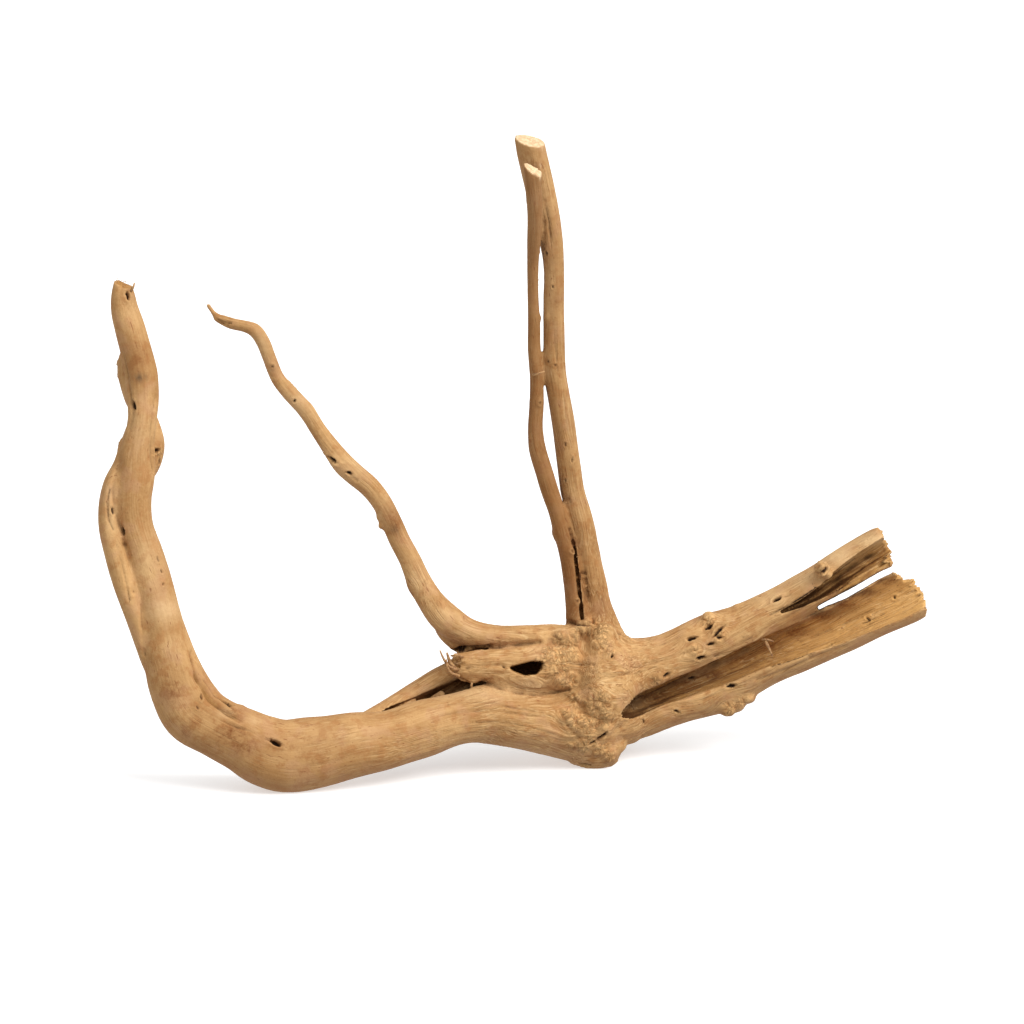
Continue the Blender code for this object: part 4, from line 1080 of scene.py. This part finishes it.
def torn_back(points, grain):
    """How far the strands of the broken ends are drawn back from where the limbs end."""
    back = np.zeros_like(points)
    for middle, reach, way, _ in BROKEN_ENDS:
        centre = place(*middle)[0]
        way = layout_way(way)
        ahead = (points - centre) @ way
        near = np.linalg.norm(points - centre, axis=1) < 1.5 * reach
        strands = np.column_stack((grain[:, :2] / 1.5, np.full(len(points), 3.3 + reach)))
        ragged = 0.5 + 0.5 * wander(strands, 51)
        pull = near * ramp(ahead, -0.6 * reach, 0) * reach * (0.02 + 0.33 * ragged**1.5)
        back += pull[:, None] * way
    return back


def keep_in_box(obj):
    """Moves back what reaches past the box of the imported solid."""
    low, high = (np.array(corner) for corner in SOLID_BOX)
    inside = np.clip(skin_of(obj.data)[0] * MM, low, high)
    obj.data.vertices.foreach_set("co", inside.ravel())
    obj.data.update()


def hollowness(mesh, points, normals):
    """How far the skin round each point lies in front of it: above 0 in a hollow, and below
    0 on an edge."""
    edges = np.empty(len(mesh.edges) * 2, dtype=np.int32)
    mesh.edges.foreach_get("vertices", edges)
    first, second = edges.reshape(-1, 2).T
    both, other = np.concatenate([first, second]), np.concatenate([second, first])
    step = points[other] - points[both]
    lean = (step * normals[both]).sum(axis=1) / np.linalg.norm(step, axis=1)
    count = np.bincount(both, minlength=len(points))
    bent = np.bincount(both, lean, len(points)) / count
    for _ in range(2):
        bent = 0.5 * bent + 0.5 * np.bincount(both, bent[other], len(points)) / count
    return bent


def openness(wood, points, normals):
    """The share of the sky that each point of the skin sees, from 0 in a deep hole to 1."""
    tree = BVHTree.FromObject(wood, bpy.context.evaluated_depsgraph_get())
    rng = np.random.default_rng(8)
    ways = unit(rng.normal(size=(SKY_RAYS, 3)))
    seen = np.zeros(len(points))
    for way in ways:
        lean = unit(normals + 0.95 * way)
        starts = (points + 0.4 * normals) * MM
        seen += [tree.ray_cast(start, to, SKY_REACH)[0] is None
                 for start, to in zip(starts.tolist(), lean.tolist())]
    return seen / SKY_RAYS


def add_layer(mesh, name, *values):
    """Keeps three values for each point of the mesh."""
    layer = mesh.attributes.new(name, "FLOAT_VECTOR", "POINT")
    layer.data.foreach_set("vector", np.column_stack(values).ravel())


def sawn_faces(points, normals):
    """Where the skin is the face of a saw cut."""
    cut = np.zeros(len(points))
    for middle, facing, reach, sawn in CUT_ENDS:
        if not sawn:
            continue
        out = layout_way(facing)
        offset = points - place(*middle)[0]
        flat = ramp(normals @ out, 0.55, 0.85) * (np.abs(offset @ out) < 1.2)
        close = np.linalg.norm(offset, axis=1) < max(reach) + 1
        cut = np.maximum(cut, close * flat)
    return cut


def paint_layers(wood, knowledge):
    """Leaves on the mesh what its material needs to know at each point."""
    mesh = wood.data
    points, normals = skin_of(mesh)
    layer = knowledge.read(points)
    hollow = hollowness(mesh, points, normals)
    cut = sawn_faces(points, normals)
    open_sky = openness(wood, points, normals)
    add_layer(mesh, "grain", layer["grain"])
    add_layer(mesh, "wear_and_shade", layer["dark"], layer["brown"], layer["grey"])
    add_layer(mesh, "form", layer["burl"], layer["inner"], hollow)
    add_layer(mesh, "swirl", layer["swirl"])
    add_layer(mesh, "faces", cut, -normals[:, 2], layer["near_burl"])
    add_layer(mesh, "air", open_sky, layer["pale"], layer["number"])


class Value:
    """A socket of a node tree that reads like a number in an expression."""

    def __init__(self, graph, socket):
        self.graph, self.socket = graph, socket

    def math(self, operation, *values):
        settings = {"operation": operation}
        return self.graph.node("ShaderNodeMath", settings, dict(enumerate(values)))

    def __add__(self, other):
        return self.math("ADD", self, other)

    def __sub__(self, other):
        return self.math("SUBTRACT", self, other)

    def __rsub__(self, other):
        return self.math("SUBTRACT", other, self)

    def __mul__(self, other):
        return self.math("MULTIPLY", self, other)

    def __truediv__(self, other):
        return self.math("DIVIDE", self, other)

    __radd__, __rmul__ = __add__, __mul__

    def ridge(self):
        """Sharp where the value passes one half: 1 there, and 0 far from it."""
        return 1 - self.math("ABSOLUTE", self - 0.5) * 4

    def between(self, low, high):
        """0 at low, 1 at high, smooth between and flat outside."""
        settings = {"interpolation_type": "SMOOTHSTEP"}
        return self.graph.node("ShaderNodeMapRange", settings, {0: self, 1: low, 2: high})


class Graph:
    """Adds nodes to a node tree."""

    def __init__(self, tree):
        self.tree = tree

    def node(self, kind, settings, inputs, output=0):
        """Adds a node with its settings and its inputs, which may be numbers or links."""
        node = self.tree.nodes.new(kind)
        for name, value in settings.items():
            setattr(node, name, value)
        for key, value in inputs.items():
            self.feed(node.inputs[key], value)
        return Value(self, node.outputs[output]) if len(node.outputs) else None

    def feed(self, socket, value):
        if isinstance(value, Value):
            self.tree.links.new(value.socket, socket)
        else:
            socket.default_value = value


class Paint(Graph):
    """Builds the nodes of one material."""

    def __init__(self, name):
        self.material = bpy.data.materials.new(name)
        self.material.use_nodes = True
        super().__init__(self.material.node_tree)
        self.shader = self.tree.nodes["Principled BSDF"]

    def layer(self, name):
        """The three values of one of the mesh's layers."""
        vector = self.node("ShaderNodeAttribute", {"attribute_name": name}, {}, "Vector")
        return [self.node("ShaderNodeSeparateXYZ", {}, {0: vector}, k) for k in range(3)]

    def vector(self, x, y, z):
        return self.node("ShaderNodeCombineXYZ", {}, {0: x, 1: y, 2: z})

    def noise(self, vector, scale=1.0, detail=2.0, roughness=0.5):
        inputs = {"Vector": vector, "Scale": scale, "Detail": detail, "Roughness": roughness}
        return self.node("ShaderNodeTexNoise", {}, inputs)

    def mix(self, factor, first, second):
        inputs = {0: factor, 6: first, 7: second}
        return self.node("ShaderNodeMix", {"data_type": "RGBA"}, inputs, 2)

    def vector_math(self, operation, inputs, output=0):
        return self.node("ShaderNodeVectorMath", {"operation": operation}, inputs, output)

    def bump(self, height, strength, distance):
        inputs = {"Height": height, "Strength": strength, "Distance": distance}
        return self.node("ShaderNodeBump", {}, inputs)


class WoodPaint(Paint):
    """The wood's layers and noises, and the colours that are laid over one another by them."""

    def __init__(self):
        super().__init__("weathered driftwood")
        where = self.node("ShaderNodeTexCoord", {}, {}, "Object")
        self.spot = self.vector_math("SCALE", {0: where, "Scale": 1 / MM})
        x, y, z = (self.node("ShaderNodeSeparateXYZ", {}, {0: self.spot}, k) for k in range(3))
        self.x = x
        self.lengthwise = x * LENGTHWISE[0] + y * LENGTHWISE[1] + z * LENGTHWISE[2]
        self.side, self.away, self.tone = self.layer("grain")
        self.dark, self.brown, self.grey = self.layer("wear_and_shade")
        self.burl, self.inner, self.hollow = self.layer("form")
        self.cut, self.under, self.near_burl = self.layer("faces")
        self.open_sky, self.pale_patch, self.number = self.layer("air")
        self.broad = self.streaks(5.0, 60)
        self.fine = self.streaks(1.0, 28, 3.0)
        self.hair = self.streaks(0.45, 15)
        self.blotch = self.noise(self.spot, 0.2, 4.0, 0.6)
        self.mottle = self.noise(self.spot, 0.5, 4.0, 0.65)
        self.speck = self.noise(self.spot, 1.3, 3.0, 0.6)
        self.combed = self.how_combed()
        self.crease, self.wrinkles = self.curls()

    def streaks(self, width, length, detail=2.0):
        """Noise that is drawn out along the grain."""
        spot = self.vector(self.side / width, self.away / width, self.lengthwise / length)
        return self.noise(spot, 1.0, detail)

    def how_combed(self):
        """How clearly the lines of the grain show: least on the arm, most round the burl."""
        combed = self.noise(self.spot, 0.085, 2.0).between(0.36, 0.6) * 0.75 + 0.25
        combed = combed * (self.x.between(*ARM_TO_TRUNK) * 0.55 + 0.45)
        return combed + self.near_burl * 0.5 + self.inner * 0.4

    def curls(self):
        """The burl's creases and wrinkles, which run round and out of its rosettes."""
        curl = self.node("ShaderNodeTexNoise", {}, {
            "Vector": self.spot, "Scale": 0.22, "Detail": 2.0, "Roughness": 0.4,
            "Distortion": 1.8})
        swirl = self.node("ShaderNodeAttribute", {"attribute_name": "swirl"}, {}, "Vector")
        ray = self.vector_math("NORMALIZE", {0: swirl})
        reach = self.vector_math("LENGTH", {0: swirl}, "Value")
        twist = self.vector(self.number * 5.3, reach * 0.22, curl * 1.5)
        ray = self.vector_math("SCALE", {0: ray, "Scale": 1.5})
        spokes = self.noise(self.vector_math("ADD", {0: ray, 1: twist}), 1.0, 1.0, 0.5)
        crease = curl.ridge().between(0.86, 0.99) * 0.5 + spokes.ridge().between(0.84, 0.98) * 0.6
        return crease, curl * 0.5 + spokes * 0.5

    def over(self, colour, share, tint):
        """The colour with a share of a tint over it."""
        return self.mix(share, colour, TINTS[tint])

    def bare_wood(self):
        """Light and brown in patches, rosy in places, with a rosy painted shade on faces that point
        down.
        """
        cloud = self.noise(self.spot, 0.045, 3.0)
        light = self.broad.between(0.35, 0.65) * 0.25 + cloud.between(0.38, 0.62) * 0.4
        light = light + self.mottle.between(0.35, 0.65) * 0.2
        light = light + self.fine.between(0.35, 0.65) * 0.15
        colour = self.mix(light, TINTS["plain"], TINTS["light"])
        colour = self.over(colour, self.blotch.between(0.48, 0.64) * 0.65, "blotch")
        rosy = self.noise(self.spot, 0.11, 3.0).between(0.5, 0.66)
        colour = self.over(colour, rosy * 0.3, "rosy")
        return self.over(colour, self.under.between(0.0, 0.9) * 0.4, "underside shade")

    def inner_wood(self):
        """The wood inside the hollows, golden in the lower prong."""
        colour = self.mix(
            self.fine.between(0.35, 0.65), TINTS["inner brown"], TINTS["inner light"])
        golden = self.x.between(85.0, 165.0) * self.tone.between(0.1, 0.4)
        return self.over(colour, golden * 0.65, "golden")

    def lined(self, colour):
        """Adds the lines of the grain, the darker limbs, flecks and specks."""
        lines = self.hair.between(0.53, 0.68) * 0.5 + self.fine.between(0.54, 0.66) * 0.5
        colour = self.over(colour, lines * self.combed * 0.62, "dark line")
        colour = self.over(colour, self.hair.between(0.47, 0.34) * self.combed * 0.4, "light line")
        colour = self.over(colour, (self.tone * -1).between(0.0, 1.0) * 0.75, "dark limb")
        flecks = self.streaks(0.8, 2.2, 1.0).between(0.69, 0.76)
        colour = self.over(colour, flecks * 0.6, "fleck")
        return self.over(colour, self.speck.between(0.60, 0.74) * 0.4, "speck")

    def stained_and_shaded(self, colour):
        """Adds brown stains and grey smudges, some of which are painted shade under the upper
        limb's lip, in the trough and at the twins' bases.
        """
        stain_and_shade = self.mottle.between(0.36, 0.6) * 0.5 + self.blotch.between(0.4, 0.6) * 0.3 + 0.4
        colour = self.over(colour, self.brown * stain_and_shade * (self.speck * 0.8 + 0.5), "stain_and_shade")
        return self.over(colour, self.grey * (self.mottle * 0.5 + 0.75), "smudge_and_shade")

    def worn(self, colour):
        """Adds painted shade in the burl's creases and shallow hollows, a painted highlight on its
        raised curls, painted shade in all hollows, lighter worn edges and the painted shade of deep
        places.
        """
        burl, hollow = self.burl, self.hollow
        colour = self.over(colour, burl * self.crease * 0.4, "crease")
        colour = self.over(colour, burl * self.wrinkles.between(0.42, 0.58) * 0.6, "curl")
        colour = self.over(colour, hollow.between(0.05, 0.36) * (0.7 - burl * 0.4), "hollow")
        colour = self.over(colour, burl * hollow.between(-0.06, 0.16) * 0.6, "warm hollow shade")
        colour = self.over(colour, hollow.between(-0.05, -0.35) * 0.4, "worn edge")
        return self.over(colour, self.open_sky.between(0.5, 0.05) * 0.9, "shade")

    def heartwood(self):
        """The pale faces of the saw cuts."""
        colour = self.mix(self.mottle.between(0.4, 0.6), TINTS["heart brown"], TINTS["heart light"])
        return self.over(colour, self.speck.between(0.52, 0.7) * 0.4, "heart speck")

    def relief(self):
        """The height of the finest relief."""
        height = self.broad * 0.2 + (self.fine.ridge() * -0.3 + self.hair * 0.5) * self.combed
        height = height + self.mottle * 0.3 + self.speck * 0.25
        height = height * (1 - self.burl * 0.3) - self.burl * self.crease * 0.9
        return height + self.burl * self.wrinkles * 0.9


def driftwood_finish():
    """The material of the weathered wood."""
    paint = WoodPaint()
    colour = paint.mix(paint.inner * 0.85, paint.bare_wood(), paint.inner_wood())
    bleached = paint.pale_patch * (paint.mottle * 0.6 + paint.fine * 0.6 + 0.1)
    colour = paint.over(colour, bleached, "bleached")
    # Grain lines, then stains and smudges with some painted shade, then the painted shade and
    # highlights of the form and its worn edges
    colour = paint.worn(paint.stained_and_shaded(paint.lined(colour)))
    colour = paint.mix(paint.cut, colour, paint.heartwood())
    # Painted shade in holes and grooves, and painted shadow in bands under the lips
    colour = paint.over(colour, paint.dark.between(0.05, 0.9), "hole")
    paint.feed(paint.shader.inputs["Base Color"], colour)
    paint.feed(paint.shader.inputs["Roughness"], 0.6 + paint.hair * 0.2 + paint.inner * 0.1)
    paint.shader.inputs["Specular IOR Level"].default_value = 0.12
    paint.feed(paint.shader.inputs["Normal"], paint.bump(paint.relief(), 0.85, 0.0006))
    return paint.material


def fibre_finish(name, darkest, lightest):
    """The material of torn wood, which runs in patches from its darkest to its lightest colour."""
    paint = Paint(name)
    where = paint.node("ShaderNodeTexCoord", {}, {}, "Object")
    patch = paint.noise(where, 900.0, 3.0)
    colour = paint.mix(patch.between(0.35, 0.65), darkest, lightest)
    paint.feed(paint.shader.inputs["Base Color"], colour)
    paint.feed(paint.shader.inputs["Roughness"], 0.6 + patch * 0.25)
    paint.feed(paint.shader.inputs["Normal"], paint.bump(patch, 0.4, 0.0003))
    return paint.material


def make_wood():
    """The dressed wood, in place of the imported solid."""
    wood = grow_wood()
    soften_along(wood, Skin(wood))
    knowledge = Wood(Skin(wood))
    weather(wood, knowledge)
    wood.data.shade_smooth()
    thin = wood.modifiers.new("Fewer faces", "DECIMATE")
    thin.ratio = min(1.0, MOST_TRIANGLES / (2 * len(wood.data.polygons)))
    bake(wood)
    keep_in_box(wood)
    paint_layers(wood, knowledge)
    wood.data.materials.append(driftwood_finish())
    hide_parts("driftwood")
    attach(wood, "root")
    return wood


def make_slivers(finish):
    """Loose slivers that still hang on the wood."""
    mesh = bmesh.new()
    for seed, rows in enumerate(SLIVERS):
        add_tube(mesh, Limb(rows).rings(seed * 3.7))
    slivers = new_object("loose_slivers", mesh)
    slivers.data.shade_smooth()
    slivers.data.materials.append(finish)
    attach(slivers, "root")


def fibre_growth(finish):
    """A tree that grows bent, tapered fibres out of a patch, the way its layers say."""
    tree = bpy.data.node_groups.new("frayed fibres", "GeometryNodeTree")
    tree.interface.new_socket("Patch", in_out="INPUT", socket_type="NodeSocketGeometry")
    tree.interface.new_socket("Fibres", in_out="OUTPUT", socket_type="NodeSocketGeometry")
    for name, value in FIBRES.items():
        socket = tree.interface.new_socket(name, in_out="INPUT", socket_type="NodeSocketFloat")
        socket.default_value = value
    graph = Graph(tree)

    def given(name):
        return graph.node("NodeGroupInput", {}, {}, name)

    def layer(name, kind):
        return graph.node("GeometryNodeInputNamedAttribute", {"data_type": kind}, {0: name})

    frayed = layer("fray", "FLOAT") * given("Fibres to the square metre")
    roots = graph.node("GeometryNodeDistributePointsOnFaces", {}, {
        "Mesh": given("Patch"), "Density": frayed, "Seed": 4})
    bend = graph.node("GeometryNodeCurveQuadraticBezier", {}, {
        "Resolution": 6, "Start": (0, 0, 0), "Middle": (0.1, 0, 0.6), "End": (0.35, 0.1, 1)})
    bend = graph.node("GeometryNodeTransform", {}, {
        "Geometry": bend, "Scale": graph.node("ShaderNodeCombineXYZ", {}, {
            0: given("Length"), 1: given("Length"), 2: given("Length")})})
    travel = graph.node("GeometryNodeSplineParameter", {}, {}, "Factor")
    ring = graph.node("GeometryNodeCurvePrimitiveCircle", {}, {"Resolution": 5, "Radius": 1.0})
    fibre = graph.node("GeometryNodeCurveToMesh", {}, {
        "Curve": bend, "Profile Curve": ring, "Scale": (1.05 - travel) * given("Thickness"),
        "Fill Caps": True})
    stray = graph.node("FunctionNodeRandomValue", {"data_type": "FLOAT_VECTOR"}, {
        0: (-0.45, -0.45, -0.45), 1: (0.45, 0.45, 0.45), "Seed": 5})
    way = graph.node("ShaderNodeVectorMath", {"operation": "ADD"}, {
        0: layer("along", "FLOAT_VECTOR"), 1: stray})
    turn = graph.node("FunctionNodeAlignRotationToVector", {"axis": "Z"}, {"Vector": way})
    size = graph.node("FunctionNodeRandomValue", {"data_type": "FLOAT"}, {
        2: 0.35, 3: 1.3, "Seed": 6}, 1)
    grown = graph.node("GeometryNodeInstanceOnPoints", {}, {
        "Points": roots, "Instance": fibre, "Rotation": turn, "Scale": size})
    spin = graph.node("FunctionNodeRandomValue", {"data_type": "FLOAT"}, {
        2: 0.0, 3: 6.28, "Seed": 7}, 1)
    grown = graph.node("GeometryNodeRotateInstances", {}, {
        "Instances": grown, "Rotation": graph.node("ShaderNodeCombineXYZ", {}, {2: spin}),
        "Local Space": True})
    real = graph.node("GeometryNodeRealizeInstances", {}, {0: grown})
    painted = graph.node("GeometryNodeSetMaterial", {}, {"Geometry": real, "Material": finish})
    graph.node("NodeGroupOutput", {}, {"Fibres": painted})
    return tree


def frayed_patch(wood, fray, along):
    """The faces of the wood that fibres grow on, with how thickly and which way they grow."""
    mesh = bmesh.new()
    mesh.from_mesh(wood.data)
    frayed, smooth = [], []
    for face in mesh.faces:
        rough = any(fray[corner.index] > FRAYED for corner in face.verts)
        (frayed if rough else smooth).append(face)
    kept = sorted({corner.index for face in frayed for corner in face.verts})
    bmesh.ops.delete(mesh, geom=smooth, context="FACES")
    patch = new_object("frayed_fibres", mesh)
    for name in [layer.name for layer in patch.data.attributes if not layer.name.startswith(".")]:
        if name not in ("position", "sharp_face", "material_index"):
            patch.data.attributes.remove(patch.data.attributes[name])
    patch.data.attributes.new("fray", "FLOAT", "POINT").data.foreach_set("value", fray[kept])
    add_layer(patch.data, "along", along[kept])
    return patch


def make_fibres(wood, finish):
    """Frayed fibres on the wood's broken ends."""
    points, normals = skin_of(wood.data)
    fray = np.zeros(len(points))
    along = np.zeros((len(points), 3))
    for middle, reach, way, frayed in BROKEN_ENDS:
        way = layout_way(way)
        offset = points - place(*middle)[0]
        close = np.linalg.norm(offset, axis=1) < reach
        ahead = ramp(offset @ way, -0.35 * reach, 0.1 * reach)
        share = close * ahead * ramp(normals @ way, -0.2, 0.6)
        fray = np.maximum(fray, frayed * share)
        along[share > 0] = way
    fibres = frayed_patch(wood, fray, along)
    growth = fibres.modifiers.new("Fibres", "NODES")
    growth.node_group = fibre_growth(finish)
    for socket in growth.node_group.interface.items_tree:
        if socket.in_out == "INPUT" and socket.name in FIBRES:
            growth[socket.identifier] = FIBRES[socket.name]
    bake(fibres)
    keep_in_box(fibres)
    fibres.data.shade_smooth()
    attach(fibres, "root")


def make_floor():
    """A floor that glows a little, so that it is as white as the paper round a cut-out."""
    mesh = bmesh.new()
    bmesh.ops.create_grid(mesh, x_segments=1, y_segments=1, size=FLOOR_SIZE)
    floor = new_object("floor", mesh)
    paint = Paint("pale floor")
    paint.shader.inputs["Base Color"].default_value = FLOOR_COLOUR
    paint.shader.inputs["Emission Color"].default_value = WHITE
    paint.shader.inputs["Emission Strength"].default_value = 0.5
    paint.shader.inputs["Roughness"].default_value = 0.9
    floor.data.materials.append(paint.material)
    floor.visible_diffuse = False
    floor.visible_shadow = False


def soft_light(name, towards, watts, spread):
    """An even light from one side, whose shadows are as soft as its spread is wide."""
    light = bpy.data.lights.new(name, "SUN")
    light.energy = watts
    light.angle = math.radians(spread)
    lamp = bpy.data.objects.new(name, light)
    lamp.rotation_euler = Vector(towards).to_track_quat("-Z", "Y").to_euler()
    bpy.context.scene.collection.objects.link(lamp)


def make_studio():
    """Even light and a white sky, and the camera where the photograph's was."""
    scene = bpy.context.scene
    scene.view_settings.view_transform = "Standard"
    world = bpy.data.worlds.new("studio")
    world.use_nodes = True
    sky = world.node_tree.nodes["Background"]
    sky.inputs["Color"].default_value = WHITE
    sky.inputs["Strength"].default_value = 0.67
    scene.world = world
    soft_light("key", (-0.6, 0.42, -0.75), 2.9, 34)
    soft_light("top", (0.1, 0.3, -1.0), 0.5, 60)
    camera = bpy.data.cameras.new("camera")
    camera.sensor_width = FILM_WIDTH
    camera.lens = FILM_WIDTH * VIEW_DISTANCE / VIEW_WIDTH
    camera.clip_end = 20
    holder = bpy.data.objects.new("camera", camera)
    holder.location = EYE * MM
    holder.rotation_euler = (math.pi / 2 - VIEW_TILT, 0, 0)
    scene.collection.objects.link(holder)
    scene.camera = holder


make_studio()
make_floor()
driftwood = make_wood()
make_slivers(fibre_finish("fresh splinter", *SLIVER_COLOURS))
make_fibres(driftwood, fibre_finish("fibre", *FIBRE_COLOURS))
